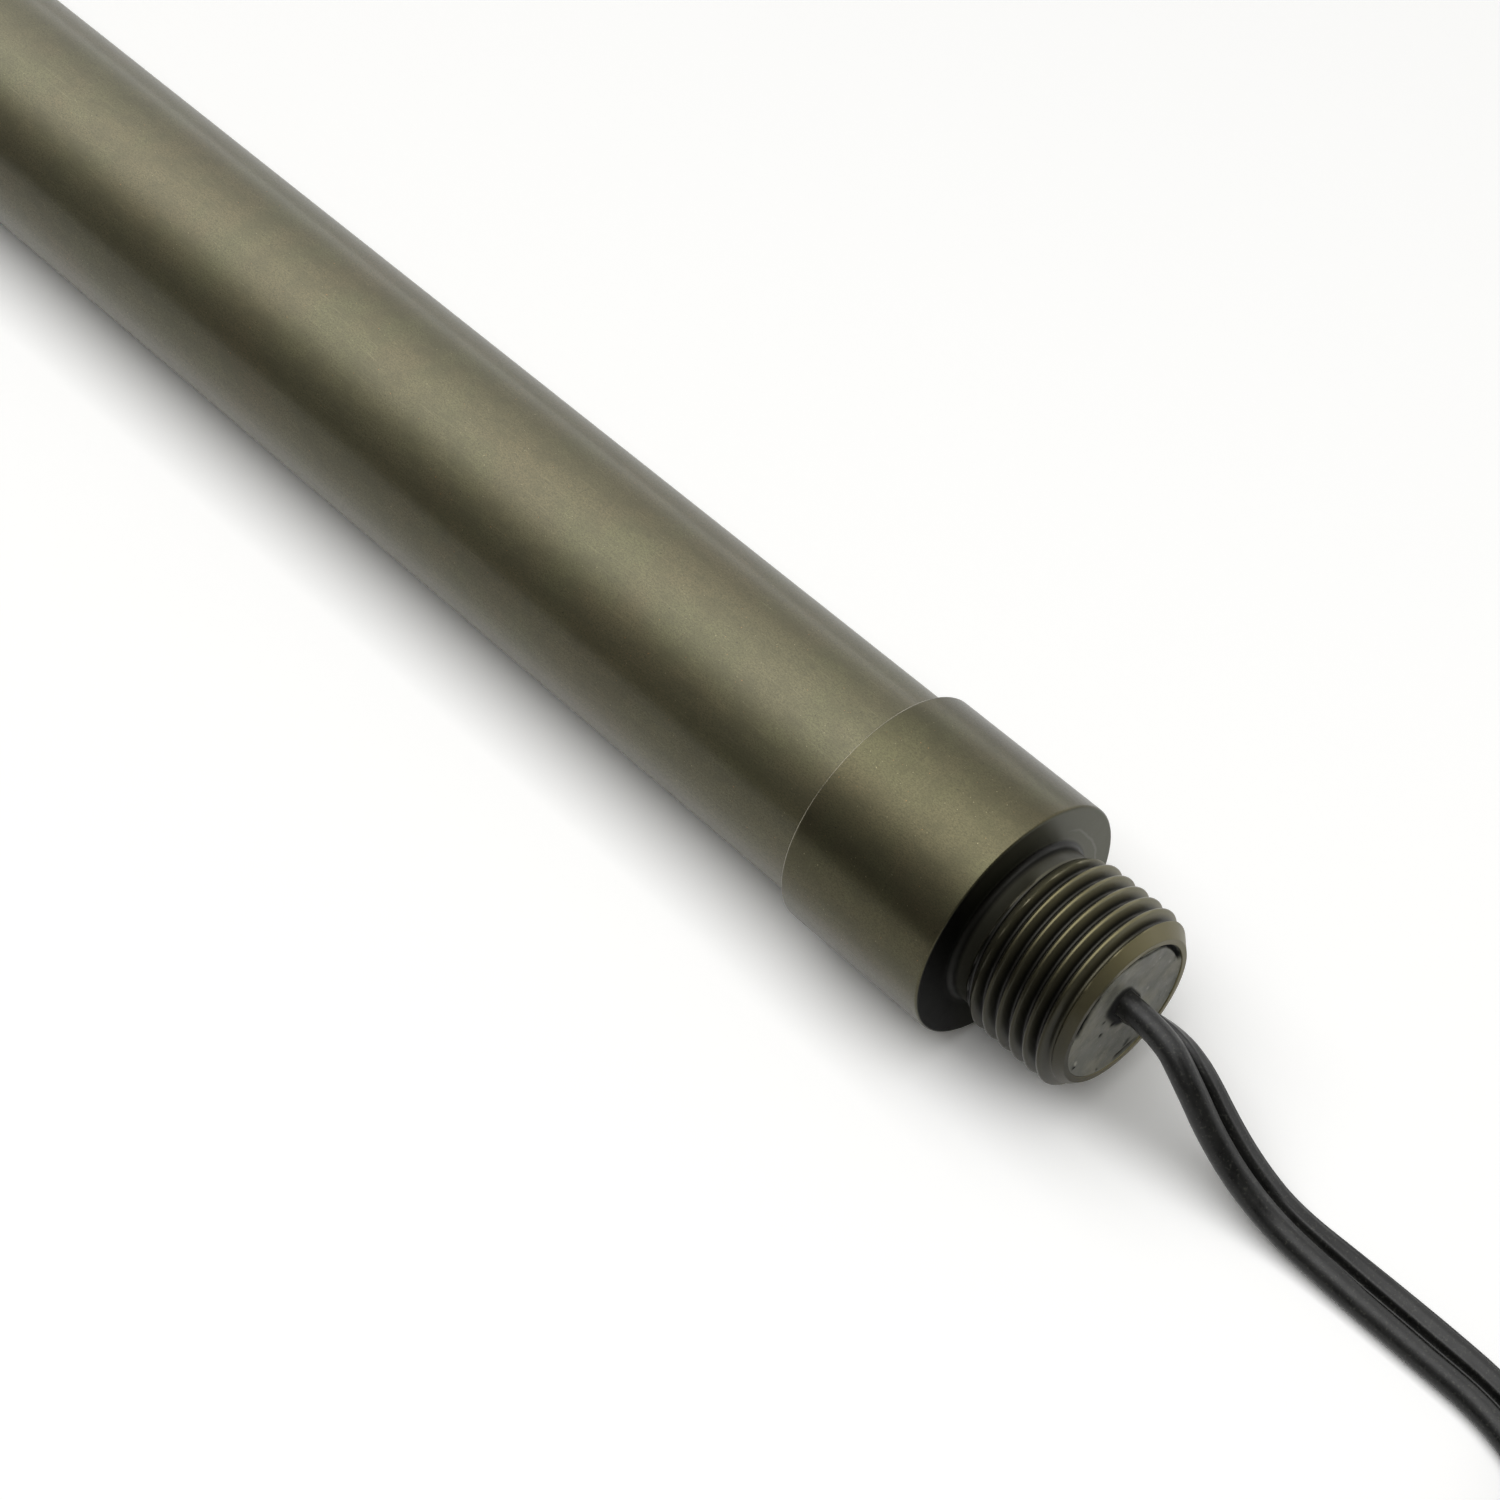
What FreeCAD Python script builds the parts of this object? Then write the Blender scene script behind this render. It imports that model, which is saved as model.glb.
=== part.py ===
import FreeCAD, Part
import math
import os
from FreeCAD import Vector

# A tube heater for an aquarium, lying on its side. Millimetres, +Z up.
# +X runs along the sheath towards the cord. The origin lies on the surface that the
# heater rests on, below the middle of its length.

# Sheath
overall_length = 330.0
sheath_od = 25.4
sheath_wall = 1.2

# Cord-end fitting, turned in one piece: collar, neck and pipe-threaded nipple
collar_wall = 1.25
collar_length = 19.5
collar_web = 5.5
collar_chamfer = 0.2
nipple_length = 15.0
thread_radius = 10.45
thread_depth = 1.1
thread_run_in = 0.7
neck_length = 2.2
end_chamfer_length = 1.8
end_chamfer_drop = 1.7
rim_width = 0.65

# Closed far end
cap_length = 16.0
cap_wall = 4.0
cap_edge_radius = 1.5

# Fits
socket_clearance = 0.05
resin_clearance = 0.02
slip_clearance = 0.1
loose_clearance = 0.3

# Seals and resin
gasket_thickness = 1.0
resin_recess = 0.2
dam_thickness = 4.0
clamp_length = 5.0
clamp_wall = 1.2

# Flat two-core cord, and how it stands where it leaves the resin
cord_width = 5.6
cord_thickness = 2.8
cord_web = 1.3
cord_exit_y = -0.3
cord_exit_rise = 1.3
cord_exit_turn_deg = 61.0
cord_strip_back = 2.5

# Thermostat board, the bimetal strip over it and the block that holds the strip
board_start = 20.0
board_thickness = 1.8
board_drop = 4.2
strip_height = 4.0
strip_thickness = 0.5
strip_width = 6.0
strip_length = 39.0
strip_corner_radius = 1.0
block_length = 9.0
clamp_plate_height = 2.4
hinge_inset = 3.0
rivet_radius = 1.0
rivet_head_radius = 1.7
rivet_head_height = 0.7

# Contacts, armature, magnet and the arm over the strip
contact_radius = 1.3
contact_height = 0.8
contact_gap = 0.05
armature_length = 5.0
armature_width = 4.0
armature_height = 0.8
magnet_radius = 2.0
magnet_gap = 0.4
arm_setback = 7.0
arm_to_strip = 6.8
arm_height = 9.0
arm_thickness = 0.9
arm_bend_radius = 0.8
arm_width = 7.0
arm_foot_length = 5.0
screw_radius = 1.25
screw_head_radius = 2.1
screw_head_height = 1.5
screw_slot_width = 0.5
screw_slot_depth = 0.75
nut_flats = 5.0
nut_height = 1.6

# Capacitor and fuse on the board
capacitor_to_block = 11.0
capacitor_length = 11.0
capacitor_depth = 3.9
capacitor_height = 7.0
capacitor_corner_radius = 0.8
fuse_to_block = 2.5
fuse_length = 11.0
fuse_radius = 1.8
fuse_tip_radius = 0.9
fuse_wire_length = 6.0
crimp_radius = 1.5
crimp_length = 5.0

# Heating element
barrier_to_board = 7.0
barrier_thickness = 9.0
disc_thickness = 4.0
former_rib_width = 2.0
former_flutes = 4
former_bore_radius = 1.5
former_rib_inset = 9.0
coil_radius = 1.5
coil_end_inset = 3.0
coil_bend_reach = 3.0
flute_clearance = 1.0
first_flute_deg = 225.0
liner_thickness = 0.6
pad_thickness = 8.0

# Inner wires
lead_radius = 0.8
bare_radius = 0.45
inner_bend_reach = 1.6

# Put-away hank of the cord, with its tie
hank_near = 82.0
hank_run = 96.0
hank_fold_diameters = 3.0
hank_layers = 3
hank_turn_clearance = 0.3
hank_layer_clearance = 0.1
tie_thickness = 0.8
tie_width = 12.0

# Plug
plug_length = 27.0
plug_taper_length = 9.0
plug_width = 25.0
plug_rear_width = 12.0
plug_height = 15.6
plug_edge_radius = 2.6
relief_length = 14.0
relief_wall = 0.9
relief_taper = 1.3
relief_grooves = 4
relief_groove_width = 1.2
relief_groove_depth = 0.3
blade_length = 16.5
blade_thickness = 1.5
blade_width = 6.3
wide_blade_width = 7.9
blade_spacing = 12.7
blade_hole_radius = 1.6
blade_hole_from_tip = 4.0
blade_root = 3.0

# What follows from the sizes above
sheath_radius = sheath_od / 2
sheath_inner = sheath_radius - sheath_wall
inner_fit = sheath_inner - slip_clearance
socket_radius = sheath_radius + socket_clearance
collar_radius = socket_radius + collar_wall
axis_z = collar_radius
neck_radius = thread_radius - thread_depth
rim_radius = thread_radius - end_chamfer_drop
cord_bore_radius = rim_radius - rim_width
shoulder_x = overall_length / 2 - nipple_length
cap_face = -overall_length / 2
sheath_depth = shoulder_x - cap_face - cap_wall
resin_face = nipple_length - resin_recess
cord_exit_z = axis_z + cord_exit_rise
cord_lie = cord_width / 2
board_top = axis_z - board_drop
board_half_width = math.sqrt(inner_fit ** 2 - (board_drop + board_thickness) ** 2)
arm_start = board_start + arm_setback
strip_tip = arm_start + arm_thickness + arm_to_strip
hinge_wall = strip_tip + strip_length + loose_clearance
board_rear = hinge_wall + hinge_inset
block_front = board_rear - block_length
barrier_start = board_rear + barrier_to_board
strip_z = board_top + strip_height
strip_top = strip_z + strip_thickness / 2
contact_depth = strip_tip + contact_radius + loose_clearance
contact_face = strip_top + contact_height + contact_gap
armature_depth = contact_depth + contact_radius + armature_length / 2 + 2 * loose_clearance
arm_top = board_top + arm_height
fuse_y = board_half_width - fuse_radius
fuse_z = board_top + fuse_radius
fuse_rear = block_front - fuse_to_block - crimp_length / 2 - fuse_wire_length
fuse_start = fuse_rear - fuse_length
fuse_wire_ends = (fuse_start - fuse_wire_length, fuse_rear + fuse_wire_length)
block_half_width = fuse_y - 2 * bare_radius
rivet_side = block_half_width - rivet_head_radius - loose_clearance
capacitor_rear = block_front - capacitor_to_block
former_front = barrier_start + barrier_thickness + disc_thickness
former_rear = sheath_depth - pad_thickness - disc_thickness
liner_inner = inner_fit - liner_thickness
former_rib_radius = liner_inner - slip_clearance
flute_step_deg = 360.0 / former_flutes
flute_radius = former_rib_radius - coil_radius - flute_clearance
former_core_radius = (flute_radius * math.cos(math.radians(flute_step_deg / 2))
                      - coil_radius - slip_clearance)
hank_fold_radius = hank_fold_diameters * cord_width
hank_turn_gap = cord_thickness + hank_turn_clearance
hank_layer_height = cord_width + hank_layer_clearance
hank_outer = hank_fold_radius + hank_turn_gap + cord_thickness / 2
hank_lane = hank_fold_radius + hank_turn_gap
hank_low = tie_thickness + cord_lie
hank_leave = hank_low + (hank_layers - 2) * hank_layer_height
hank_top = hank_low + (hank_layers - 1) * hank_layer_height + cord_lie
relief_rear_radius = cord_lie + relief_wall
relief_front_radius = relief_rear_radius + relief_taper
arc_share = 0.45
same_place = 0.01
along = Vector(1, 0, 0)
up = Vector(0, 0, 1)


def inside(depth):
    """The x of a place that lies this far behind the collar's front face."""
    return shoulder_x - depth


def rod(front, rear, radius, y=0.0, z=axis_z):
    """A round bar along the sheath between two depths behind the collar's face."""
    return Part.makeCylinder(radius, rear - front, Vector(inside(rear), y, z), along)


def block(front, rear, y_low, y_high, z_low, z_high):
    corner = Vector(inside(rear), y_low, z_low)
    return Part.makeBox(rear - front, y_high - y_low, z_high - z_low, corner)


def turned(profile):
    """A lathe-turned piece from (x, radius) points given from the collar's face."""
    points = [Vector(shoulder_x + x, 0, axis_z + radius) for x, radius in profile]
    face = Part.Face(Part.makePolygon(points + points[:1]))
    return face.revolve(Vector(0, 0, axis_z), along, 360)


def ring(front, rear, outer, inner):
    return rod(front, rear, outer).cut(rod(front, rear, inner))


def save(name, shape):
    shape = shape.removeSplitter()
    shape.exportStep(os.path.join("parts", name + ".step"))
    print(name, len(shape.Solids), "solids", round(shape.Volume, 1), "mm3", shape.isValid())


def rounded_path(points, longest_reach):
    """Straight runs joined by tangent arcs, each as large as its two runs allow."""
    edges = []
    radii = []
    last = points[0]
    for before, corner, after in zip(points, points[1:], points[2:]):
        back = (before - corner).normalize()
        ahead = (after - corner).normalize()
        half_turn = (math.pi - back.getAngle(ahead)) / 2
        shorter_run = min((before - corner).Length, (after - corner).Length)
        reach = min(arc_share * shorter_run, longest_reach)
        radius = reach / math.tan(half_turn)
        inward = (back + ahead).normalize()
        start = corner + back * reach
        end = corner + ahead * reach
        middle = corner + inward * (radius / math.cos(half_turn) - radius)
        edges.append(Part.LineSegment(last, start).toShape())
        edges.append(Part.Arc(start, middle, end).toShape())
        radii.append(radius)
        last = end
    edges.append(Part.LineSegment(last, points[-1]).toShape())
    return Part.Wire(edges), radii


def tube_along(points, radius, longest_reach=math.inf):
    """A round cord or wire along a route, and the radii of its bends."""
    path, radii = rounded_path(points, longest_reach)
    circle = Part.Wire(Part.makeCircle(radius, points[0], points[1] - points[0]))
    return path.makePipeShell([circle], True, False), radii, path.Length


def wire_from(route, radius, longest_reach):
    """An inner wire through (depth, y, z) points."""
    points = [Vector(inside(depth), y, z) for depth, y, z in route]
    return tube_along(points, radius, longest_reach)[0]


def cord_lobe(side):
    """The (y, z) middle of one core of the cord where it passes through the resin."""
    turn = math.radians(cord_exit_turn_deg)
    offset = side * (cord_width - cord_thickness) / 2
    return cord_exit_y + offset * math.cos(turn), cord_exit_z - offset * math.sin(turn)


def flat_cord(front, rear):
    """The two-core cord where it runs straight: two round cores and the web between."""
    cores = [rod(front, rear, cord_thickness / 2, *cord_lobe(side)) for side in (-1, 1)]
    middle = Vector(inside(rear), cord_exit_y, cord_exit_z)
    web = Part.makeBox(rear - front, cord_width - cord_thickness, cord_web,
                       middle - Vector(0, (cord_width - cord_thickness) / 2, cord_web / 2))
    web.rotate(middle, along, -cord_exit_turn_deg)
    return cores[0].fuse(cores[1]).fuse(web).removeSplitter()


def sheath_tube():
    return ring(collar_web + gasket_thickness, sheath_depth - gasket_thickness,
                sheath_radius, sheath_inner)


def base_fitting():
    """Collar with the tube's socket behind it and the bored nipple in front."""
    return turned([
        (-collar_length, socket_radius),
        (-collar_length, collar_radius - collar_chamfer),
        (collar_chamfer - collar_length, collar_radius),
        (-collar_chamfer, collar_radius),
        (0, collar_radius - collar_chamfer),
        (0, neck_radius),
        (neck_length, neck_radius),
        (neck_length + thread_run_in, thread_radius),
        (nipple_length - end_chamfer_length, thread_radius),
        (nipple_length, rim_radius),
        (nipple_length, cord_bore_radius),
        (-collar_web, cord_bore_radius),
        (-collar_web, socket_radius),
    ])


def end_cap():
    """A closed cap over the tube's far end, rounded at its outer rim."""
    depth = shoulder_x - cap_face
    body = rod(depth - cap_length, depth, collar_radius)
    rim = [e for e in body.Edges
           if e.Curve.TypeId == "Part::GeomCircle" and abs(e.Curve.Center.x - cap_face) < same_place]
    body = body.makeFillet(cap_edge_radius, rim)
    return body.cut(rod(depth - cap_length, sheath_depth, socket_radius))


def gasket(front):
    """A ring between the tube's end and what closes it."""
    return ring(front, front + gasket_thickness, sheath_radius, sheath_inner)


def save_cord_entry():
    """Resin, rubber dam and clamp, and the stretch of cord that they hold."""
    dam_rear = collar_web + dam_thickness
    clamp_rear = dam_rear + clamp_length
    hole = flat_cord(-resin_face, clamp_rear)
    resin = rod(-resin_face, collar_web, cord_bore_radius - resin_clearance)
    dam = rod(collar_web, dam_rear, inner_fit)
    clamp = rod(dam_rear, clamp_rear, cord_lie + clamp_wall, cord_exit_y, cord_exit_z)
    save("potting_resin", resin.cut(hole))
    save("resin_dam", dam.cut(hole))
    save("cord_clamp", clamp.cut(hole))
    save("cord_inside", flat_cord(-resin_face, clamp_rear + cord_strip_back))
    return clamp_rear + cord_strip_back


def rivet_shanks():
    """The two rivets, side by side, through the clamp plate, the block and the board."""
    low = board_top - board_thickness
    high = strip_z + clamp_plate_height
    x = inside(board_rear - block_length / 2)
    return [Part.makeCylinder(rivet_radius, high - low, Vector(x, y, low), up)
            for y in (-rivet_side, rivet_side)]


def riveted(piece):
    for shank in rivet_shanks():
        piece = piece.cut(shank)
    return piece


def rivets():
    low = board_top - board_thickness - rivet_head_height
    high = strip_z + clamp_plate_height
    x = inside(board_rear - block_length / 2)
    made = []
    for shank, y in zip(rivet_shanks(), (-rivet_side, rivet_side)):
        for foot in (low, high):
            shank = shank.fuse(Part.makeCylinder(rivet_head_radius, rivet_head_height,
                                                 Vector(x, y, foot), up))
        made.append(shank)
    return Part.makeCompound(made)


def thermostat_board():
    return riveted(block(board_start, board_rear, -board_half_width, board_half_width,
                         board_top - board_thickness, board_top))


def strip_holder(low, high):
    """The block under the bimetal strip, or the plate over it, with the strip's slot."""
    slot_half = strip_thickness / 2 + loose_clearance
    slot_side = strip_width / 2 + loose_clearance
    slot = block(block_front, hinge_wall, -slot_side, slot_side,
                 strip_z - slot_half, strip_z + slot_half)
    holder = block(block_front, board_rear, -block_half_width, block_half_width, low, high)
    return riveted(holder.cut(slot))


def bimetal_strip():
    side = strip_width / 2
    strip = block(strip_tip, strip_tip + strip_length, -side, side,
                  strip_z - strip_thickness / 2, strip_top)
    corners = [e for e in strip.Edges
               if e.BoundBox.ZLength > strip_thickness / 2
               and e.BoundBox.XMin > inside(strip_tip) - same_place]
    return strip.makeFillet(strip_corner_radius, corners)


def contact(foot_z):
    """A silver button; the lower one is on the strip and the upper one is the screw's tip."""
    return Part.makeCylinder(contact_radius, contact_height,
                             Vector(inside(contact_depth), 0, foot_z), up)


def armature():
    half = armature_length / 2
    return block(armature_depth - half, armature_depth + half,
                 -armature_width / 2, armature_width / 2,
                 strip_top, strip_top + armature_height)


def contact_arm():
    """The bent brass arm that carries the contact screw and the magnet over the strip."""
    side = arm_width / 2
    reach = armature_depth + magnet_radius + 2 * loose_clearance
    foot = block(arm_start, arm_start + arm_foot_length, -side, side,
                 board_top, board_top + arm_thickness)
    post = block(arm_start, arm_start + arm_thickness, -side, side, board_top, arm_top)
    arm = block(arm_start, reach, -side, side, arm_top - arm_thickness, arm_top)
    shape = foot.fuse(post).fuse(arm).removeSplitter()
    bend = [e for e in shape.Edges
            if e.BoundBox.YLength > side and abs(e.BoundBox.ZMax - arm_top) < same_place
            and abs(e.BoundBox.XMax - inside(arm_start)) < same_place]
    shape = shape.makeFillet(arm_bend_radius, bend)
    foot_of_hole = Vector(inside(contact_depth), 0, arm_top - arm_thickness)
    return shape.cut(Part.makeCylinder(screw_radius, arm_thickness, foot_of_hole, up))


def contact_screw():
    """The factory-set screw whose silver tip is the fixed contact."""
    x = inside(contact_depth)
    shank_foot = contact_face + contact_height
    head_foot = arm_top + nut_height
    shank = Part.makeCylinder(screw_radius, head_foot - shank_foot, Vector(x, 0, shank_foot), up)
    head = Part.makeCylinder(screw_head_radius, screw_head_height, Vector(x, 0, head_foot), up)
    slot_low = Vector(x - screw_head_radius, -screw_slot_width / 2,
                      head_foot + screw_head_height - screw_slot_depth)
    slot = Part.makeBox(2 * screw_head_radius, screw_slot_width, screw_slot_depth, slot_low)
    return shank.fuse(head).cut(slot)


def lock_nut():
    x = inside(contact_depth)
    corner = nut_flats / 2 / math.cos(math.pi / 6)
    points = [Vector(x + corner * math.cos(k * math.pi / 3), corner * math.sin(k * math.pi / 3),
                     arm_top) for k in range(6)]
    nut = Part.Face(Part.makePolygon(points + points[:1])).extrude(Vector(0, 0, nut_height))
    return nut.cut(Part.makeCylinder(screw_radius, nut_height, Vector(x, 0, arm_top), up))


def magnet():
    low = strip_top + armature_height + magnet_gap
    return Part.makeCylinder(magnet_radius, arm_top - arm_thickness - low,
                             Vector(inside(armature_depth), 0, low), up)


def capacitor():
    outer_y = loose_clearance - board_half_width
    body = block(capacitor_rear - capacitor_length, capacitor_rear,
                 outer_y, outer_y + capacitor_depth, board_top, board_top + capacitor_height)
    upright = [e for e in body.Edges if e.BoundBox.ZLength > capacitor_height / 2]
    return body.makeFillet(capacitor_corner_radius, upright)


def thermal_fuse():
    """A one-shot fuse with a wire at each end, lying on the board."""
    body_rear = fuse_rear - fuse_radius
    body = rod(fuse_start, body_rear, fuse_radius, fuse_y, fuse_z)
    tip = Part.makeCone(fuse_tip_radius, fuse_radius, fuse_radius,
                        Vector(inside(fuse_rear), fuse_y, fuse_z), along)
    wire = rod(*fuse_wire_ends, bare_radius, fuse_y, fuse_z)
    return body.fuse(tip).fuse(wire)


def crimp_sleeves():
    """The two crimped sleeves that join the fuse's wires to the leads."""
    made = []
    for end in fuse_wire_ends:
        place = (end - crimp_length / 2, end + crimp_length / 2)
        hole = rod(*place, lead_radius + socket_clearance, fuse_y, fuse_z)
        made.append(rod(*place, crimp_radius, fuse_y, fuse_z).cut(hole))
    return Part.makeCompound(made)


def flute_place(number):
    """The (y, z) middle of one of the former's lengthwise flutes."""
    turn = math.radians(first_flute_deg - number * flute_step_deg)
    return flute_radius * math.cos(turn), axis_z + flute_radius * math.sin(turn)


def element_former():
    """A fluted ceramic core with a bore along its middle; its ribs bear on the liner."""
    shape = rod(former_front, former_rear, former_core_radius)
    for k in range(former_flutes):
        rib = block(former_front + former_rib_inset, former_rear - former_rib_inset,
                    -former_rib_width / 2, former_rib_width / 2,
                    axis_z, axis_z + former_rib_radius)
        from_top = first_flute_deg - 90 + (k + 0.5) * flute_step_deg
        rib.rotate(Vector(0, 0, axis_z), along, from_top)
        shape = shape.fuse(rib)
    return shape.removeSplitter().cut(rod(former_front, former_rear, former_bore_radius))


def heating_coil():
    """The close-wound resistance coil, laid to and fro in the former's flutes."""
    ends = (former_front + coil_end_inset, former_rear - coil_end_inset)
    route = []
    for k in range(former_flutes):
        y, z = flute_place(k)
        for end in ends if k % 2 == 0 else ends[::-1]:
            route.append((end, y, z))
    return wire_from(route, coil_radius, coil_bend_reach)


def lead_spacer(front, rear):
    """A round spacer that fits the sheath and lets the element's two leads through."""
    disc = rod(front, rear, inner_fit)
    for k in (0, former_flutes - 1):
        disc = disc.cut(rod(front, rear, bare_radius + slip_clearance, *flute_place(k)))
    return disc


def save_inner_leads(cord_rear):
    """The wires between the cord, the thermostat, the fuse and the element."""
    live, neutral = cord_lobe(-1), cord_lobe(1)
    first, last = flute_place(0), flute_place(former_flutes - 1)
    foot = (0, board_top + arm_thickness + lead_radius)
    fuse = (fuse_y, fuse_z)
    tab = (-strip_width / 2, strip_z)
    bend = inner_bend_reach
    coil_front = former_front + coil_end_inset
    routes = {
        "live_lead": (lead_radius, [(cord_rear, *live), (cord_rear + 2 * bend, *live),
                                    (arm_start - 2 * bend, *foot), (arm_start, *foot)]),
        "neutral_lead": (lead_radius, [(cord_rear, *neutral), (cord_rear + bend, *neutral),
                                       (arm_start, *fuse), (fuse_wire_ends[0], *fuse)]),
        "element_lead": (bare_radius, [(board_rear, *tab), (board_rear + 2 * bend, *tab),
                                       (barrier_start - bend, *first), (coil_front, *first)]),
        "return_lead": (bare_radius, [(fuse_wire_ends[1], *fuse), (board_rear + bend, *fuse),
                                      (barrier_start - bend, *last), (coil_front, *last)]),
    }
    for name, (radius, route) in routes.items():
        save(name, wire_from(route, radius, bend))


# The cord's routes, in points chosen along it: from the resin to the hank, and from the
# hank to the plug. x counts from the collar's front face.
lead_route = [
    (resin_face, cord_exit_y, cord_exit_z),
    (20.4, cord_exit_y, cord_exit_z),
    (26.0, -0.4, 12.2),
    (31.0, -0.3, 7.8),
    (36.2, 0.0, 4.5),
    (43.0, 0.3, cord_lie + 0.3),
    (52.0, 0.4, cord_lie),
    (61.0, 0.3, cord_lie),
    (69.6, -1.0, cord_lie),
    (77.4, -5.0, cord_lie),
    (84.2, -11.0, cord_lie),
    (91.0, -16.0, cord_lie + 0.1),
    (98.4, -19.0, cord_lie + 0.5),
    (106.0, -hank_lane, hank_low),
]
tail_route = [
    (194.0, -hank_lane, hank_leave),
    (202.0, -19.6, hank_leave),
    (210.0, -18.2, 8.9),
    (218.0, -15.4, 8.3),
    (226.5, -12.2, plug_height / 2),
    (235.0, -9.6, plug_height / 2),
    (243.0, -9.6, plug_height / 2),
]


def save_cord(name, route):
    points = [Vector(shoulder_x + x, y, z) for x, y, z in route]
    tube, radii, length = tube_along(points, cord_lie)
    share = tube.Volume / (math.pi * cord_lie ** 2 * length)
    print(name, "radii", [round(r, 1) for r in radii], "length", round(length, 1))
    print(name, "volume over section times length", round(share, 4))
    save(name, tube)


def stadium(radius, low, high):
    """A round-ended block along the hank."""
    near = shoulder_x + hank_near + hank_outer
    shape = Part.makeBox(hank_run, 2 * radius, high - low, Vector(near, -radius, low))
    for x in (near, near + hank_run):
        shape = shape.fuse(Part.makeCylinder(radius, high - low, Vector(x, 0, low), up))
    return shape.removeSplitter()


def cord_hank():
    hole = stadium(hank_fold_radius - cord_thickness / 2, tie_thickness, hank_top)
    return stadium(hank_outer, tie_thickness, hank_top).cut(hole)


def hank_tie():
    """A rubber band with rounded corners round the middle of the hank."""
    low_x = shoulder_x + hank_near + hank_outer + hank_run / 2 - tie_width / 2
    wide = hank_outer + tie_thickness
    band = Part.makeBox(tie_width, 2 * wide, hank_top + tie_thickness, Vector(low_x, -wide, 0))
    corners = [e for e in band.Edges if e.BoundBox.XLength > tie_width / 2]
    band = band.makeFillet(tie_thickness, corners)
    return band.cut(Part.makeBox(tie_width, 2 * hank_outer, hank_top - tie_thickness,
                                 Vector(low_x, -hank_outer, tie_thickness)))


def plug_body(x, y):
    """The moulded plug: a block that narrows towards the cord, with rounded edges."""
    front, rear = plug_width / 2, plug_rear_width / 2
    neck = x + plug_taper_length
    end = x + plug_length
    points = [Vector(x, y - rear, 0), Vector(neck, y - front, 0), Vector(end, y - front, 0),
              Vector(end, y + front, 0), Vector(neck, y + front, 0), Vector(x, y + rear, 0)]
    body = Part.Face(Part.makePolygon(points + points[:1])).extrude(Vector(0, 0, plug_height))
    return body.makeFillet(plug_edge_radius, body.Edges)


def plug_relief(x, y, z):
    """The grooved sleeve that guards the cord where it enters the plug."""
    low_x = x - relief_length
    relief = Part.makeCone(relief_rear_radius, relief_front_radius, relief_length,
                           Vector(low_x, y, z), along)
    step = relief_length / (relief_grooves + 1)
    for k in range(1, relief_grooves + 1):
        place = Vector(low_x + step * k - relief_groove_width / 2, y, z)
        shell = Part.makeCylinder(relief_front_radius, relief_groove_width, place, along)
        core = Part.makeCylinder(relief_rear_radius - relief_groove_depth,
                                 relief_groove_width, place, along)
        relief = relief.cut(shell.cut(core))
    return relief


def blade(x, y, z, width):
    """A flat contact blade with rounded corners and a hole near its tip."""
    root = Vector(x - blade_root, y - blade_thickness / 2, z - width / 2)
    shape = Part.makeBox(blade_root + blade_length, blade_thickness, width, root)
    tips = [e for e in shape.Edges
            if e.BoundBox.YLength > blade_thickness / 2
            and e.BoundBox.XMin > x + blade_length - blade_hole_from_tip]
    shape = shape.makeFillet(blade_thickness, tips)
    hole = Vector(x + blade_length - blade_hole_from_tip, y - blade_thickness / 2, z)
    return shape.cut(Part.makeCylinder(blade_hole_radius, blade_thickness, hole, Vector(0, 1, 0)))


def save_plug():
    """The plug at the end of the tail, with its two blades and the sleeve behind it."""
    tail_end, y, z = tail_route[-1]
    x = shoulder_x + tail_end + relief_length
    front = x + plug_length
    blades = Part.makeCompound([
        blade(front, y - blade_spacing / 2, z, blade_width),
        blade(front, y + blade_spacing / 2, z, wide_blade_width),
    ])
    save("plug_blades", blades)
    save("plug_body", plug_body(x, y).cut(blades))
    save("plug_relief", plug_relief(x, y, z))


def main():
    os.makedirs("parts", exist_ok=True)
    save("sheath_tube", sheath_tube())
    save("base_fitting", base_fitting())
    save("end_cap", end_cap())
    save("front_gasket", gasket(collar_web))
    save("rear_gasket", gasket(sheath_depth - gasket_thickness))
    cord_rear = save_cord_entry()
    save("thermostat_board", thermostat_board())
    save("strip_block", strip_holder(board_top, strip_z))
    save("strip_clamp_plate", strip_holder(strip_z, strip_z + clamp_plate_height))
    save("strip_rivets", rivets())
    save("bimetal_strip", bimetal_strip())
    save("moving_contact", contact(strip_top))
    save("strip_armature", armature())
    save("contact_arm", contact_arm())
    save("contact_screw", contact_screw())
    save("fixed_contact", contact(contact_face))
    save("screw_lock_nut", lock_nut())
    save("snap_magnet", magnet())
    save("suppressor_capacitor", capacitor())
    save("thermal_fuse", thermal_fuse())
    save("crimp_sleeves", crimp_sleeves())
    save_inner_leads(cord_rear)
    barrier_rear = barrier_start + barrier_thickness
    save("heat_barrier", lead_spacer(barrier_start, barrier_rear))
    save("front_element_disc", lead_spacer(barrier_rear, former_front))
    save("element_former", element_former())
    save("heating_coil", heating_coil())
    save("element_liner", ring(former_front, former_rear, inner_fit, liner_inner))
    save("rear_element_disc", rod(former_rear, former_rear + disc_thickness, inner_fit))
    save("end_pad", rod(former_rear + disc_thickness, sheath_depth, inner_fit))
    save_cord("cord_lead", lead_route)
    save("cord_hank", cord_hank())
    save("hank_tie", hank_tie())
    save_cord("cord_tail", tail_route)
    save_plug()


main()
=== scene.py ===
import math
import bmesh
import bpy
import numpy as np
from mathutils import Matrix, Vector


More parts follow.
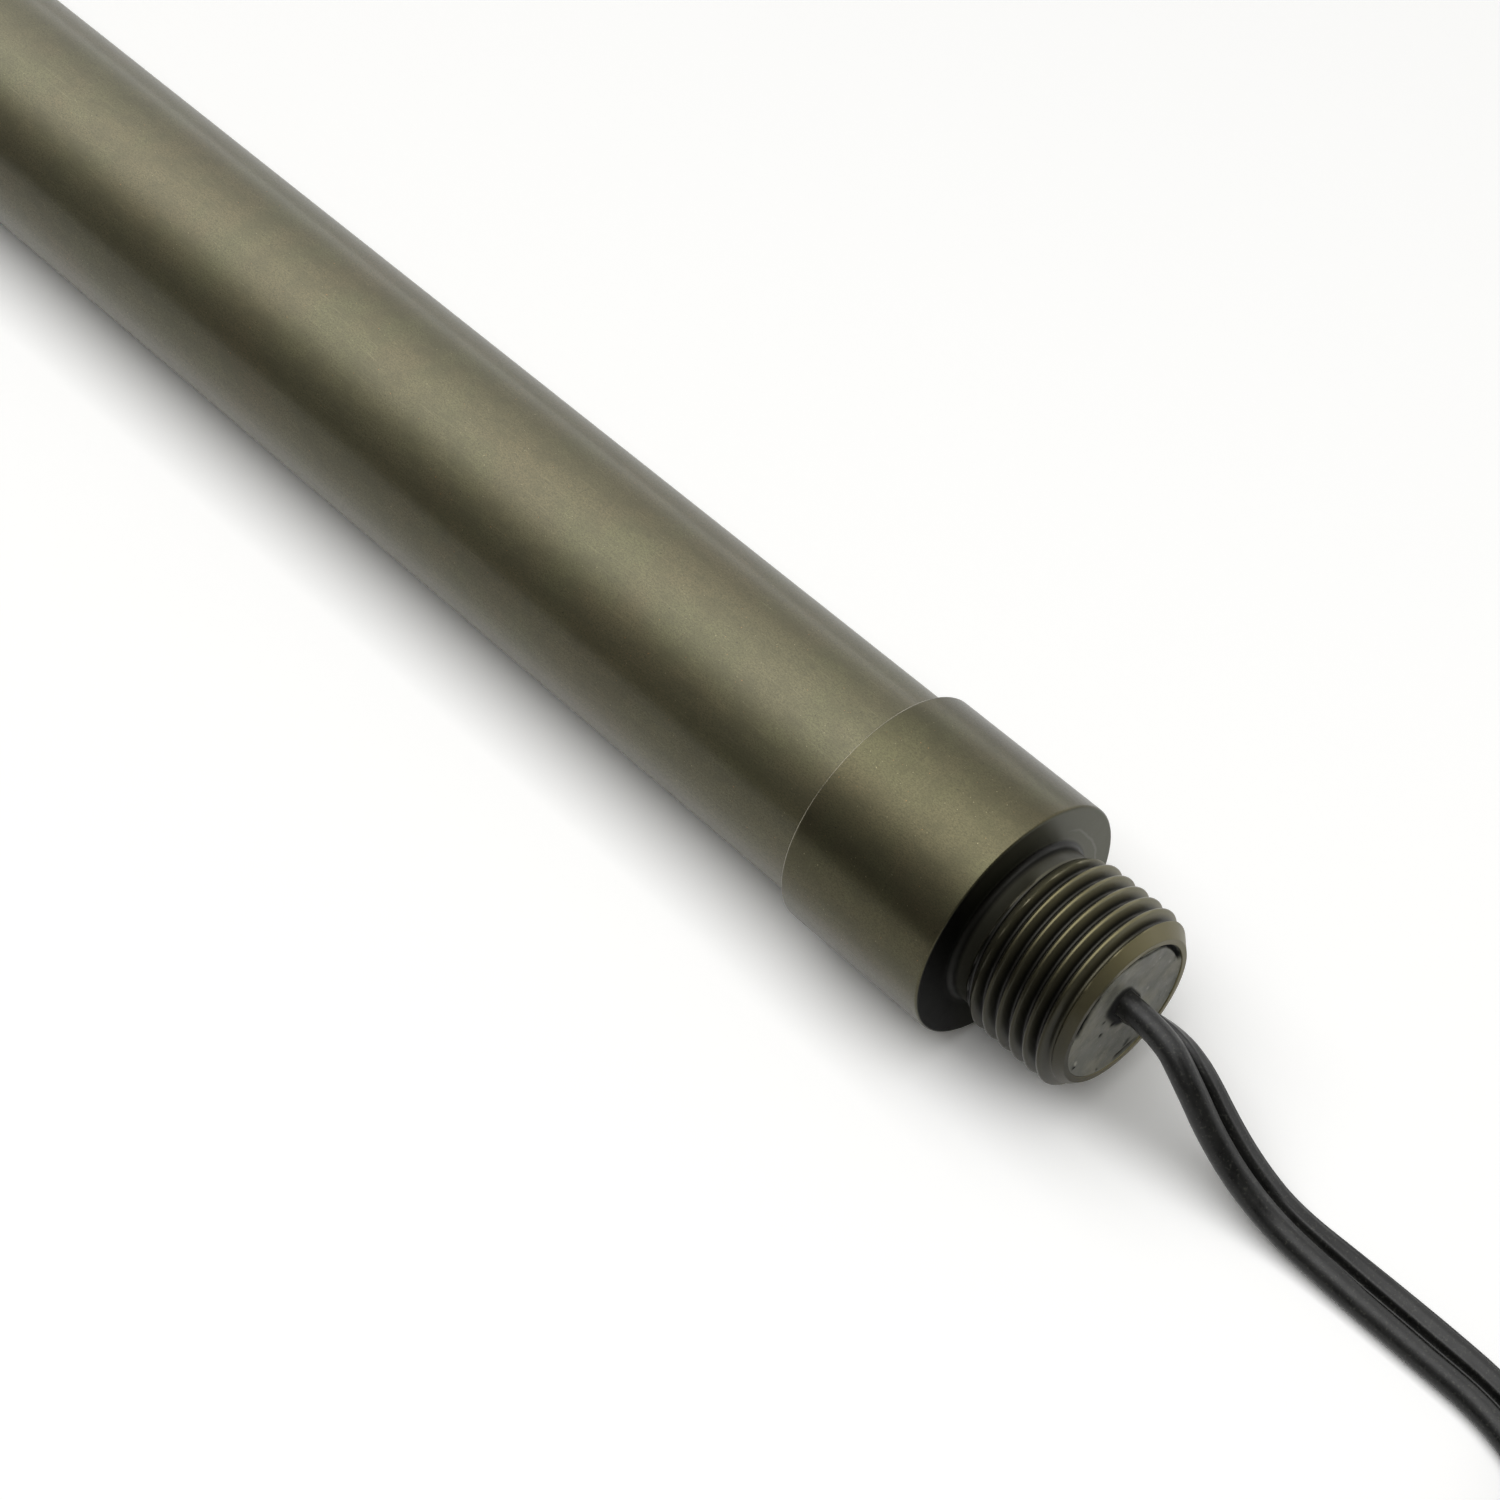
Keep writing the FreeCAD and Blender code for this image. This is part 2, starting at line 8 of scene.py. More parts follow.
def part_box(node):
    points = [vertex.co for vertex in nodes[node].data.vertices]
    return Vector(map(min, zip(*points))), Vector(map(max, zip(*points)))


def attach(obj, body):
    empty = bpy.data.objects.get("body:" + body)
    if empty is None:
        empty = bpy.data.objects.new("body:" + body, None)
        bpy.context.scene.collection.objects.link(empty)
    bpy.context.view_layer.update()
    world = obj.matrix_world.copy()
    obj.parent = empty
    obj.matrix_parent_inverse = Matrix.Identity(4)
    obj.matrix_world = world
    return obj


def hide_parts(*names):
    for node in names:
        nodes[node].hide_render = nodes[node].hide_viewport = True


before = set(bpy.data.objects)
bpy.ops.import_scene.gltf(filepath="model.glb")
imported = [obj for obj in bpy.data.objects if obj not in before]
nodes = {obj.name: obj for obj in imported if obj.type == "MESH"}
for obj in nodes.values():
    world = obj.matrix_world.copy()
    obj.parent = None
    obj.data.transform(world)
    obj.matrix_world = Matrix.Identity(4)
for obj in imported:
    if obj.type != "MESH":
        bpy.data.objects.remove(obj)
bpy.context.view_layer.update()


# Heating element. A coil of resistance wire lies in the flutes of a ceramic core, inside a
# liner of pressed mica and between ceramic discs. A felt pad holds it off the closed end and
# a rubber plug keeps its heat from the thermostat.
mm = 0.001


def shade(red, green, blue):
    """A colour given as it looks on a screen, 0 to 255."""
    def straight(level):
        level /= 255
        return level / 12.92 if level <= 0.04045 else ((level + 0.055) / 1.055) ** 2.4
    return straight(red), straight(green), straight(blue)


def finish(name, colour, roughness, metallic=0.0):
    """A material with its tree and its shader, ready for the surface's own marks."""
    material = bpy.data.materials.new(name)
    material.use_nodes = True
    tree = material.node_tree
    shader = tree.nodes["Principled BSDF"]
    shader.inputs["Base Color"].default_value = (*colour, 1)
    shader.inputs["Roughness"].default_value = roughness
    shader.inputs["Metallic"].default_value = metallic
    return material, tree, shader


def mottle(tree, size, drawn=(1, 1, 1), detail=3.0):
    """Cloudy marks of about this size in metres, drawn out by these shares along X, Y and Z."""
    place = tree.nodes.new("ShaderNodeTexCoord")
    laid = tree.nodes.new("ShaderNodeMapping")
    laid.inputs["Scale"].default_value = [1 / (size * d) for d in drawn]
    cloud = tree.nodes.new("ShaderNodeTexNoise")
    cloud.inputs["Scale"].default_value = 1.0
    cloud.inputs["Detail"].default_value = detail
    tree.links.new(place.outputs["Object"], laid.inputs["Vector"])
    tree.links.new(laid.outputs["Vector"], cloud.inputs["Vector"])
    return cloud.outputs["Fac"]


def where(tree, pattern, low, high, share=1.0, base=0.0):
    """A mask that goes from base to share as the pattern goes from low to high."""
    mask = tree.nodes.new("ShaderNodeMapRange")
    mask.inputs["From Min"].default_value = low
    mask.inputs["From Max"].default_value = high
    mask.inputs["To Min"].default_value = base
    mask.inputs["To Max"].default_value = share
    tree.links.new(pattern, mask.inputs["Value"])
    return mask.outputs["Result"]


def over(tree, under, mask, colour):
    """Lays a colour over the one below it wherever the mask is on."""
    mix = tree.nodes.new("ShaderNodeMix")
    mix.data_type = "RGBA"
    tree.links.new(mask, mix.inputs[0])
    if isinstance(under, tuple):
        mix.inputs[6].default_value = (*under, 1)
    else:
        tree.links.new(under, mix.inputs[6])
    mix.inputs[7].default_value = (*colour, 1)
    return mix.outputs[2]


def stand_out(tree, shader, pattern, height):
    """Raises the surface by the pattern, up to this height in metres."""
    bump = tree.nodes.new("ShaderNodeBump")
    bump.inputs["Distance"].default_value = height
    tree.links.new(pattern, bump.inputs["Height"])
    if shader.inputs["Normal"].is_linked:
        tree.links.new(shader.inputs["Normal"].links[0].from_socket, bump.inputs["Normal"])
    tree.links.new(bump.outputs["Normal"], shader.inputs["Normal"])


def plain_finish(name, colour, darker, roughness, size, height, metallic=0.0, drawn=(1, 1, 1)):
    """A finish of two close tones. Marks of this size, cloudy or drawn out, carry the darker
    tone, change the roughness and stand up to this height, both in metres."""
    material, tree, shader = finish(name, colour, roughness, metallic)
    marks = mottle(tree, size, drawn)
    tree.links.new(over(tree, colour, where(tree, marks, 0.4, 0.65), darker),
                   shader.inputs["Base Color"])
    tree.links.new(where(tree, marks, 0.3, 0.7, roughness + 0.08, roughness - 0.06),
                   shader.inputs["Roughness"])
    stand_out(tree, shader, marks, height)
    return material


def give(material, *names):
    """Gives a finish to pieces that keep their CAD form."""
    for name in names:
        mesh = nodes[name].data
        mesh.materials.clear()
        mesh.materials.append(material)


ceramic = plain_finish("unglazed_ceramic", shade(226, 221, 207), shade(205, 197, 180),
                       roughness=0.75, size=0.6 * mm, height=0.05 * mm)
mica = plain_finish("pressed_mica", shade(172, 156, 126), shade(152, 135, 104),
                    roughness=0.45, size=1.2 * mm, height=0.03 * mm)
felt = plain_finish("ceramic_felt", shade(232, 229, 222), shade(210, 206, 196),
                    roughness=0.95, size=0.4 * mm, height=0.2 * mm, drawn=(3, 1, 1))
seal_rubber = plain_finish("seal_rubber", shade(62, 62, 60), shade(44, 44, 43),
                           roughness=0.7, size=0.8 * mm, height=0.03 * mm)
wire_grey = shade(120, 112, 104)
wire_gap = shade(40, 36, 34)
turns_scale = 1000.0
turns_height = 0.25 * mm
coiled_wire, wire_tree, wire_shader = finish("coiled_wire", wire_grey, roughness=0.4, metallic=1.0)
turns = wire_tree.nodes.new("ShaderNodeTexWave")
turns.bands_direction = "X"
turns.inputs["Scale"].default_value = turns_scale
turns.inputs["Distortion"].default_value = 0.4
wire_place = wire_tree.nodes.new("ShaderNodeTexCoord")
wire_tree.links.new(wire_place.outputs["Object"], turns.inputs["Vector"])
between_turns = where(wire_tree, turns.outputs["Fac"], 0.5, 0)
wire_tree.links.new(over(wire_tree, wire_grey, between_turns, wire_gap),
                    wire_shader.inputs["Base Color"])
stand_out(wire_tree, wire_shader, turns.outputs["Fac"], turns_height)
give(ceramic, "element_former", "front_element_disc", "rear_element_disc")
give(mica, "element_liner")
give(felt, "end_pad")
give(seal_rubber, "heat_barrier")
give(coiled_wire, "heating_coil")


# Thermostat. A bimetal strip is held in a slotted ceramic block, riveted to a laminate board.
# Its silver contact and steel armature work under a set screw and a magnet on a brass arm,
# beside a small capacitor and a one-shot fuse in crimped sleeves.
along_x = (8, 1, 1)
laminate = plain_finish("pressed_laminate", shade(140, 103, 66), shade(129, 93, 58),
                        roughness=0.45, size=0.3 * mm, height=0.008 * mm, drawn=(2, 1, 1))
brass = plain_finish("sheet_brass", shade(205, 182, 124), shade(196, 171, 112), roughness=0.3,
                     size=0.12 * mm, height=0.003 * mm, metallic=1.0, drawn=along_x)
silver = plain_finish("contact_silver", shade(228, 226, 220), shade(190, 186, 178),
                      roughness=0.25, size=0.3 * mm, height=0.01 * mm, metallic=1.0)
steel = plain_finish("drawn_steel", shade(178, 178, 176), shade(150, 150, 148), roughness=0.32,
                     size=0.25 * mm, height=0.01 * mm, metallic=1.0, drawn=along_x)
ferrite = plain_finish("sintered_ferrite", shade(58, 57, 58), shade(38, 37, 38),
                       roughness=0.6, size=0.3 * mm, height=0.04 * mm, metallic=0.2)
dipped_blue = plain_finish("dipped_blue", shade(58, 92, 160), shade(44, 74, 138),
                           roughness=0.3, size=1.2 * mm, height=0.05 * mm)
fuse_glaze = plain_finish("fuse_glaze", shade(232, 230, 224), shade(216, 212, 204),
                          roughness=0.2, size=1.0 * mm, height=0.02 * mm)
give(laminate, "thermostat_board")
give(ceramic, "strip_block", "strip_clamp_plate")
give(brass, "strip_rivets", "contact_arm", "contact_screw", "screw_lock_nut")
give(silver, "moving_contact", "fixed_contact")
give(steel, "strip_armature", "crimp_sleeves")
give(ferrite, "snap_magnet")
give(dipped_blue, "suppressor_capacitor")
give(fuse_glaze, "thermal_fuse")


def place_on(tree):
    """The place of a point of the surface, as the outputs X, Y and Z."""
    place = tree.nodes.new("ShaderNodeTexCoord")
    parts = tree.nodes.new("ShaderNodeSeparateXYZ")
    tree.links.new(place.outputs["Object"], parts.inputs["Vector"])
    return parts.outputs


# The strip is two metals rolled together: a brassy one over a grey one.
strip_low, strip_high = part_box("bimetal_strip")
strip_middle = (strip_low.z + strip_high.z) / 2
bond_half = 0.02 * mm
strip_grey = shade(150, 146, 140)
strip_brass = shade(196, 170, 118)
two_metals, strip_tree, strip_shader = finish("two_metals", strip_grey, roughness=0.3, metallic=1.0)
upper_metal = where(strip_tree, place_on(strip_tree)["Z"], strip_middle - bond_half,
                    strip_middle + bond_half)
strip_tree.links.new(over(strip_tree, strip_grey, upper_metal, strip_brass),
                     strip_shader.inputs["Base Color"])
stand_out(strip_tree, strip_shader, mottle(strip_tree, 0.2 * mm, along_x), 0.01 * mm)
give(two_metals, "bimetal_strip")


# Inner leads. Stranded wire in black insulation runs from the cord to the contact arm and the
# fuse, and bare tinned wire from there to the two ends of the coil.
insulation = plain_finish("wire_insulation", shade(40, 40, 41), shade(28, 28, 29),
                          roughness=0.5, size=0.5 * mm, height=0.01 * mm, drawn=along_x)
give(insulation, "live_lead", "neutral_lead")
give(steel, "element_lead", "return_lead")


# Sheath. A drawn tube, about an inch across, in a satin antique bronze. Drawing left fine
# lines along it, and handling left small bright specks and slightly browner clouds.
sheath_low, sheath_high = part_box("sheath_tube")
axis_z = (sheath_low.z + sheath_high.z) / 2
sheath_radius = (sheath_high.z - sheath_low.z) / 2
sheath_wall = 1.2 * mm
sheath_inner = sheath_radius - sheath_wall
lathe_columns = 224
bronze = shade(89, 85, 62)
bronze_brown = shade(91, 84, 61)
bronze_green = shade(88, 86, 61)
bronze_dull = shade(74, 71, 51)
bronze_worn = shade(150, 142, 112)
bronze_pit = shade(44, 42, 30)
bronze_orange = shade(170, 120, 74)
lacquer_roughness = 0.22


def bronze_finish(name, depth, roughness, lacquer, marks, marks_height, marks_share):
    """Satin antique bronze under a thin lacquer, with clouds, specks and the marks that its
    making left. The depth is how dark the patina is against the tube's."""
    def tone_of(colour):
        return tuple(part * depth for part in colour)

    def specks_of(size):
        return mottle(tree, size, detail=1.0)

    material, tree, shader = finish(name, tone_of(bronze), roughness, metallic=1.0)
    shader.inputs["Coat Weight"].default_value = lacquer
    shader.inputs["Coat Roughness"].default_value = lacquer_roughness
    lines = marks(tree)
    grain = mottle(tree, 0.11 * mm, (2, 1, 1), 2.0)
    patches = mottle(tree, 2.2 * mm, (1.6, 1, 1), 5.0)
    tone = tone_of(bronze)
    # Each tone lies where its pattern is over the low limit, and is whole over the high one.
    for pattern, low, high, share, colour in (
            (mottle(tree, 11 * mm, (2, 1, 1)), 0.42, 0.6, 1.0, tone_of(bronze_brown)),
            (mottle(tree, 8 * mm), 0.48, 0.66, 1.0, tone_of(bronze_green)),
            (patches, 0.46, 0.62, 0.45, tone_of(bronze_dull)),
            (grain, 0.4, 0.66, 1.0, tone_of(bronze_dull)),
            (lines, 0.58, 0.8, marks_share, bronze_worn),
            (specks_of(0.22 * mm), 0.765, 0.795, 0.6, bronze_worn),
            (specks_of(0.26 * mm), 0.785, 0.815, 0.5, bronze_orange),
            (specks_of(0.24 * mm), 0.755, 0.785, 0.8, bronze_pit)):
        tone = over(tree, tone, where(tree, pattern, low, high, share), colour)
    tree.links.new(tone, shader.inputs["Base Color"])
    tree.links.new(where(tree, grain, 0.3, 0.7, roughness + 0.04, roughness - 0.04),
                   shader.inputs["Roughness"])
    stand_out(tree, shader, patches, 0.03 * mm)
    stand_out(tree, shader, grain, 0.009 * mm)
    stand_out(tree, shader, lines, marks_height)
    return material


def eased(corners, ease):
    """A turned profile with a small arc at each inner corner and rows close beside it."""
    hold = 0.1 * mm
    room = 4 * hold
    arc_steps = 3
    most_share = 0.4
    points = [corners[0]]
    for before, corner, after in zip(corners, corners[1:], corners[2:]):
        here = np.array(corner)
        back = np.array(before) - here
        ahead = np.array(after) - here
        back_length, ahead_length = np.linalg.norm(back), np.linalg.norm(ahead)
        reach = min(ease, most_share * back_length, most_share * ahead_length)
        start, end = here + back / back_length * reach, here + ahead / ahead_length * reach
        if back_length > room + reach:
            points.append(tuple(start + back / back_length * hold))
        for step in range(arc_steps + 1):
            share = step / arc_steps
            rounded = (1 - share) ** 2 * start + 2 * share * (1 - share) * here + share ** 2 * end
            points.append(tuple(rounded))
        if ahead_length > room + reach:
            points.append(tuple(end + ahead / ahead_length * hold))
    points.append(corners[-1])
    return points


def mesh_piece(name, points, faces, material):
    """A piece of the heater from its points and faces, smooth but for its sharp edges."""
    mesh = bpy.data.meshes.new(name)
    mesh.from_pydata(points, [], faces)
    shell = bmesh.new()
    shell.from_mesh(mesh)
    bmesh.ops.remove_doubles(shell, verts=shell.verts, dist=0.0005 * mm)
    bmesh.ops.dissolve_degenerate(shell, edges=shell.edges, dist=0.0002 * mm)
    bmesh.ops.recalc_face_normals(shell, faces=shell.faces)
    shell.to_mesh(mesh)
    shell.free()
    mesh.polygons.foreach_set("use_smooth", [True] * len(mesh.polygons))
    mesh.set_sharp_from_angle(angle=math.radians(50))
    mesh.materials.append(material)
    piece = bpy.data.objects.new(name, mesh)
    bpy.context.scene.collection.objects.link(piece)
    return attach(piece, "heater")


def join_rings(columns, rings, closed=False):
    """The faces from each ring of points to the next, and from the last back if it is closed."""
    faces = []
    for ring in range(rings - (0 if closed else 1)):
        this, other = ring * columns, (ring + 1) % rings * columns
        for k in range(columns):
            beside = (k + 1) % columns
            faces.append((this + k, this + beside, other + beside, other + k))
    return faces


def turned(name, rows, material, closed=True):
    """A lathe-turned piece from rows of (x, radius); a radius may differ round the piece."""
    turn = np.arange(lathe_columns) * 2 * math.pi / lathe_columns
    points = []
    for x, radius in rows:
        reach = np.broadcast_to(radius, turn.shape)
        points += zip(np.full(lathe_columns, x), reach * np.cos(turn),
                      axis_z + reach * np.sin(turn))
    return mesh_piece(name, points, join_rings(lathe_columns, len(rows), closed), material)


def drawn_lines(tree):
    """Fine lines along the tube, as the drawing die leaves them."""
    return mottle(tree, 0.15 * mm, (25, 1, 1), 2.0)


sheath_bronze = bronze_finish("sheath_bronze", depth=1.0, roughness=0.48, lacquer=0.5,
                              marks=drawn_lines, marks_height=0.002 * mm, marks_share=0.12)
sheath_rows = eased([
    (sheath_low.x + sheath_wall, sheath_inner),
    (sheath_low.x, sheath_inner),
    (sheath_low.x, sheath_radius),
    (sheath_high.x, sheath_radius),
    (sheath_high.x, sheath_inner),
    (sheath_high.x - sheath_wall, sheath_inner),
], ease=0.15 * mm)
sheath = turned("sheath", sheath_rows, sheath_bronze)
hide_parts("sheath_tube")


# Gaskets. Two rings of grey rubber seal the tube's ends inside the fitting and the cap.
# They are pressed in dry, and nothing else holds them.
give(seal_rubber, "front_gasket", "rear_gasket")


# Base fitting. One turned piece of the same bronze: a collar over the tube's end, a flat
# shoulder, a short neck and a half-inch pipe thread with a wide chamfer at its end. The tool
# left rings on it and the crests are worn to the metal. The grooves are darkened with soot and
# painted shade, and painted shade darkens the corner at the neck's root and the -Y side of the
# shoulder and of the nipple.
fitting_low, fitting_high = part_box("base_fitting")
nipple_length = 15.0 * mm
shoulder_x = fitting_high.x - nipple_length
collar_radius = (fitting_high.z - fitting_low.z) / 2
collar_chamfer = 0.2 * mm
socket_radius = sheath_radius + 0.05 * mm
web_x = shoulder_x - 5.5 * mm
neck_radius = 9.35 * mm
neck_end = shoulder_x + 2.2 * mm
neck_fillet = 0.6 * mm
crest_radius = 10.45 * mm
thread_pitch = 25.4 * mm / 14
thread_depth = 0.64 * thread_pitch
crest_round = 0.1373 * thread_pitch
flank_angle = math.radians(27.5)
first_crest = shoulder_x + 3.08 * mm
first_crest_turn = math.radians(32)
chamfer_start = fitting_high.x - 1.8 * mm
run_in_slope = 0.6
rim_radius = 8.75 * mm
bore_radius = 8.1 * mm
ring_spacing = 0.16 * mm
ring_wander = 0.4 * mm


def nipple_radius(x, turn):
    """The nipple's radius at x and at each part of a turn: a right-hand thread, cut back to
    the neck behind it and to the chamfer at its end."""
    crest = first_crest + thread_pitch * (turn - first_crest_turn) / (2 * math.pi)
    half = thread_pitch / 2
    aside = np.abs((x - crest + half) % thread_pitch - half)
    round_end = crest_round * math.cos(flank_angle)
    round_drop = crest_round * (1 - math.sin(flank_angle))
    on_crest = crest_round - np.sqrt(np.maximum(crest_round ** 2 - aside ** 2, 0))
    on_flank = round_drop + (aside - round_end) / math.tan(flank_angle)
    from_root = half - aside
    in_root = thread_depth - crest_round + np.sqrt(
        np.maximum(crest_round ** 2 - from_root ** 2, 0))
    drop = np.where(aside < round_end, on_crest,
                    np.where(from_root < round_end, in_root, on_flank))
    behind = neck_radius + (x - neck_end) * run_in_slope
    ahead = rim_radius + (fitting_high.x - x) * (crest_radius - rim_radius) / (
        fitting_high.x - chamfer_start)
    return np.maximum(np.minimum(np.minimum(crest_radius - drop, behind), ahead), rim_radius)


def from_axis(tree):
    """How far a point of the surface lies from the lathe's axis."""
    place = tree.nodes.new("ShaderNodeTexCoord")
    flat = tree.nodes.new("ShaderNodeVectorMath")
    flat.operation = "MULTIPLY_ADD"
    flat.inputs[1].default_value = (0, 1, 1)
    flat.inputs[2].default_value = (0, 0, -axis_z)
    reach = tree.nodes.new("ShaderNodeVectorMath")
    reach.operation = "LENGTH"
    tree.links.new(place.outputs["Object"], flat.inputs[0])
    tree.links.new(flat.outputs["Vector"], reach.inputs[0])
    return reach.outputs["Value"]


def from_point(tree, point):
    """How far a point of the surface lies from this one."""
    place = tree.nodes.new("ShaderNodeTexCoord")
    apart = tree.nodes.new("ShaderNodeVectorMath")
    apart.operation = "DISTANCE"
    apart.inputs[1].default_value = point
    tree.links.new(place.outputs["Object"], apart.inputs[0])
    return apart.outputs["Value"]


def tool_rings(tree):
    """Fine rings left by the turning tool, which follow the collar and the shoulder alike."""
    ring_place = tree.nodes.new("ShaderNodeCombineXYZ")
    tree.links.new(from_axis(tree), ring_place.inputs["X"])
    tree.links.new(place_on(tree)["X"], ring_place.inputs["Y"])
    drift = mottle(tree, 12 * mm, detail=1.0)
    tree.links.new(where(tree, drift, 0.3, 0.7, ring_wander, 0.0), ring_place.inputs["Z"])
    rings = tree.nodes.new("ShaderNodeTexNoise")
    rings.inputs["Scale"].default_value = 1 / ring_spacing
    rings.inputs["Detail"].default_value = 2.0
    tree.links.new(ring_place.outputs["Vector"], rings.inputs["Vector"])
    return rings.outputs["Fac"]


def together(tree, mask, *others):
    """A mask that is on only where all of these masks are."""
    for other in others:
        product = tree.nodes.new("ShaderNodeMath")
        product.operation = "MULTIPLY"
        tree.links.new(mask, product.inputs[0])
        tree.links.new(other, product.inputs[1])
        mask = product.outputs["Value"]
    return mask


def choose(tree, mask, off, on):
    """One value where the mask is off and another where it is on."""
    mix = tree.nodes.new("ShaderNodeMix")
    tree.links.new(mask, mix.inputs["Factor"])
    for socket, value in (("A", off), ("B", on)):
        if isinstance(value, float):
            mix.inputs[socket].default_value = value
        else:
            tree.links.new(value, mix.inputs[socket])
    return mix.outputs["Result"]


turned_lacquer = 0.25
turned_look = {"depth": 0.8, "roughness": 0.34, "lacquer": turned_lacquer, "marks": tool_rings,
               "marks_height": 0.001 * mm, "marks_share": 0.04}
fitting_bronze = bronze_finish("fitting_bronze", **turned_look)
fitting_tree = fitting_bronze.node_tree
fitting_shader = fitting_tree.nodes["Principled BSDF"]
surface = place_on(fitting_tree)
surface_reach = from_axis(fitting_tree)
neck_grey = shade(56, 55, 46)
old_oil = shade(85, 85, 71)
# Painted shade for the shoulder's -Y side, which mirrors the shadowed floor.
shoulder_shade_dark = shade(16, 16, 14)
# Painted shade for the corner at the neck's root and for the nipple's -Y side.
painted_shade_dark = shade(20, 19, 15)
thread_dull = shade(112, 108, 86)
# Soot and painted shade for the thread's grooves.
soot_and_shade = shade(34, 33, 26)
crest_bronze = shade(95, 90, 63)
chamfer_bronze = shade(106, 100, 72)
tide_grey = shade(104, 103, 93)
bare_edge = shade(190, 182, 160)


def along_part(low, high):
    """A mask that comes on between two places along the fitting."""
    return where(fitting_tree, surface["X"], low, high)


def across_part(low, high, share=1.0):
    """A mask that comes on between two places across the fitting."""
    return where(fitting_tree, surface["Y"], low, high, share)


def reach_part(low, high):
    """A mask that comes on between two distances from the fitting's axis."""
    return where(fitting_tree, surface_reach, low, high)


past_shoulder = along_part(shoulder_x - 0.1 * mm, shoulder_x - 0.02 * mm)
shoulder_face = together(fitting_tree, past_shoulder,
                         along_part(shoulder_x + 0.1 * mm, shoulder_x + 0.02 * mm))
outside_neck = reach_part(neck_radius + 0.05 * mm, neck_radius + 0.2 * mm)
# The -Y side: painted shade on the shoulder, and no lacquer where oil soaked in.
oiled_and_shaded_side = across_part(3 * mm, -9 * mm)
# Painted shade in the concave corner at the neck's root.
shaded_neck_corner = together(fitting_tree, past_shoulder,
                       along_part(shoulder_x + 1.15 * mm, shoulder_x + 0.7 * mm),
                       reach_part(neck_radius + 0.7 * mm, neck_radius + 0.4 * mm))
past_neck = along_part(neck_end - 0.1 * mm, neck_end + 0.3 * mm)
# The thread's grooves, darkened with soot and painted shade.
in_groove = together(fitting_tree, past_neck, along_part(chamfer_start + 0.5 * mm, chamfer_start),
                     reach_part(crest_radius - 0.3 * mm, crest_radius - 0.95 * mm))
crest_wear = together(fitting_tree, past_neck,
                      reach_part(crest_radius - 0.09 * mm, crest_radius - 0.01 * mm))
end_face = together(fitting_tree, along_part(chamfer_start + 0.3 * mm, chamfer_start + 0.6 * mm),
                    reach_part(crest_radius - 0.3 * mm, crest_radius - 0.5 * mm))
# Painted shade over the thread and the chamfer on their -Y side.
shaded_nipple_side = across_part(-0.5 * mm, -9 * mm, 0.8)
rear_edge = together(fitting_tree,
                     along_part(fitting_low.x + 0.22 * mm, fitting_low.x + 0.1 * mm),
                     reach_part(collar_radius - 0.25 * mm, collar_radius - 0.1 * mm))

# A faint tide mark that old oil left on the shoulder, on one side only.
tide_inner = 11.45 * mm
tide_outer = 11.85 * mm
tide_fade = 0.15 * mm
tide_wander = 0.9 * mm
tide_reach = fitting_tree.nodes.new("ShaderNodeMath")
tide_reach.operation = "MULTIPLY_ADD"
tide_reach.inputs[1].default_value = tide_wander
fitting_tree.links.new(mottle(fitting_tree, 3 * mm), tide_reach.inputs[0])
fitting_tree.links.new(from_point(fitting_tree, (shoulder_x, 0.4 * mm, axis_z - 0.5 * mm)),
                       tide_reach.inputs[2])
tide_mark = together(fitting_tree, shoulder_face, across_part(6.5 * mm, 9 * mm),
                     where(fitting_tree, tide_reach.outputs["Value"], tide_inner,
                           tide_inner + tide_fade),
                     where(fitting_tree, tide_reach.outputs["Value"], tide_outer,
                           tide_outer - tide_fade))

fitting_tone = fitting_shader.inputs["Base Color"].links[0].from_socket
# Painted shade lies on the -Y side of the shoulder and the nipple, in the neck's corner and, with
# soot, in the grooves.
for mask, colour in ((past_shoulder, neck_grey),
                     (together(fitting_tree, shoulder_face, outside_neck), old_oil),
                     (together(fitting_tree, shoulder_face, oiled_and_shaded_side), shoulder_shade_dark),
                     (shaded_neck_corner, painted_shade_dark),
                     (past_neck, thread_dull),
                     (in_groove, soot_and_shade),
                     (crest_wear, crest_bronze),
                     (end_face, chamfer_bronze),
                     (together(fitting_tree, past_neck, shaded_nipple_side), painted_shade_dark),
                     (tide_mark, tide_grey),
                     (rear_edge, bare_edge)):
    fitting_tone = over(fitting_tree, fitting_tone, mask, colour)
fitting_tree.links.new(fitting_tone, fitting_shader.inputs["Base Color"])

# Grime dulls the nipple all but its crests. Where oil soaked in, on one side of the neck and
# of the shoulder, the lacquer is gone.
grimy_roughness = 0.5
crest_roughness = 0.3
grimy_metallic = 0.85
turned_roughness = fitting_shader.inputs["Roughness"].links[0].from_socket
nipple_roughness = choose(fitting_tree, past_shoulder, turned_roughness, grimy_roughness)
fitting_tree.links.new(choose(fitting_tree, crest_wear, nipple_roughness, crest_roughness),
                       fitting_shader.inputs["Roughness"])
grimy = together(fitting_tree, past_shoulder,
                 reach_part(crest_radius - 0.09 * mm, crest_radius - 0.3 * mm))
fitting_tree.links.new(where(fitting_tree, grimy, 0, 1, grimy_metallic, 1.0),
                       fitting_shader.inputs["Metallic"])
soaked = together(fitting_tree, past_shoulder, oiled_and_shaded_side, where(fitting_tree, past_neck, 1, 0))
fitting_tree.links.new(where(fitting_tree, soaked, 0, 0.5, 0.0, turned_lacquer),
                       fitting_shader.inputs["Coat Weight"])

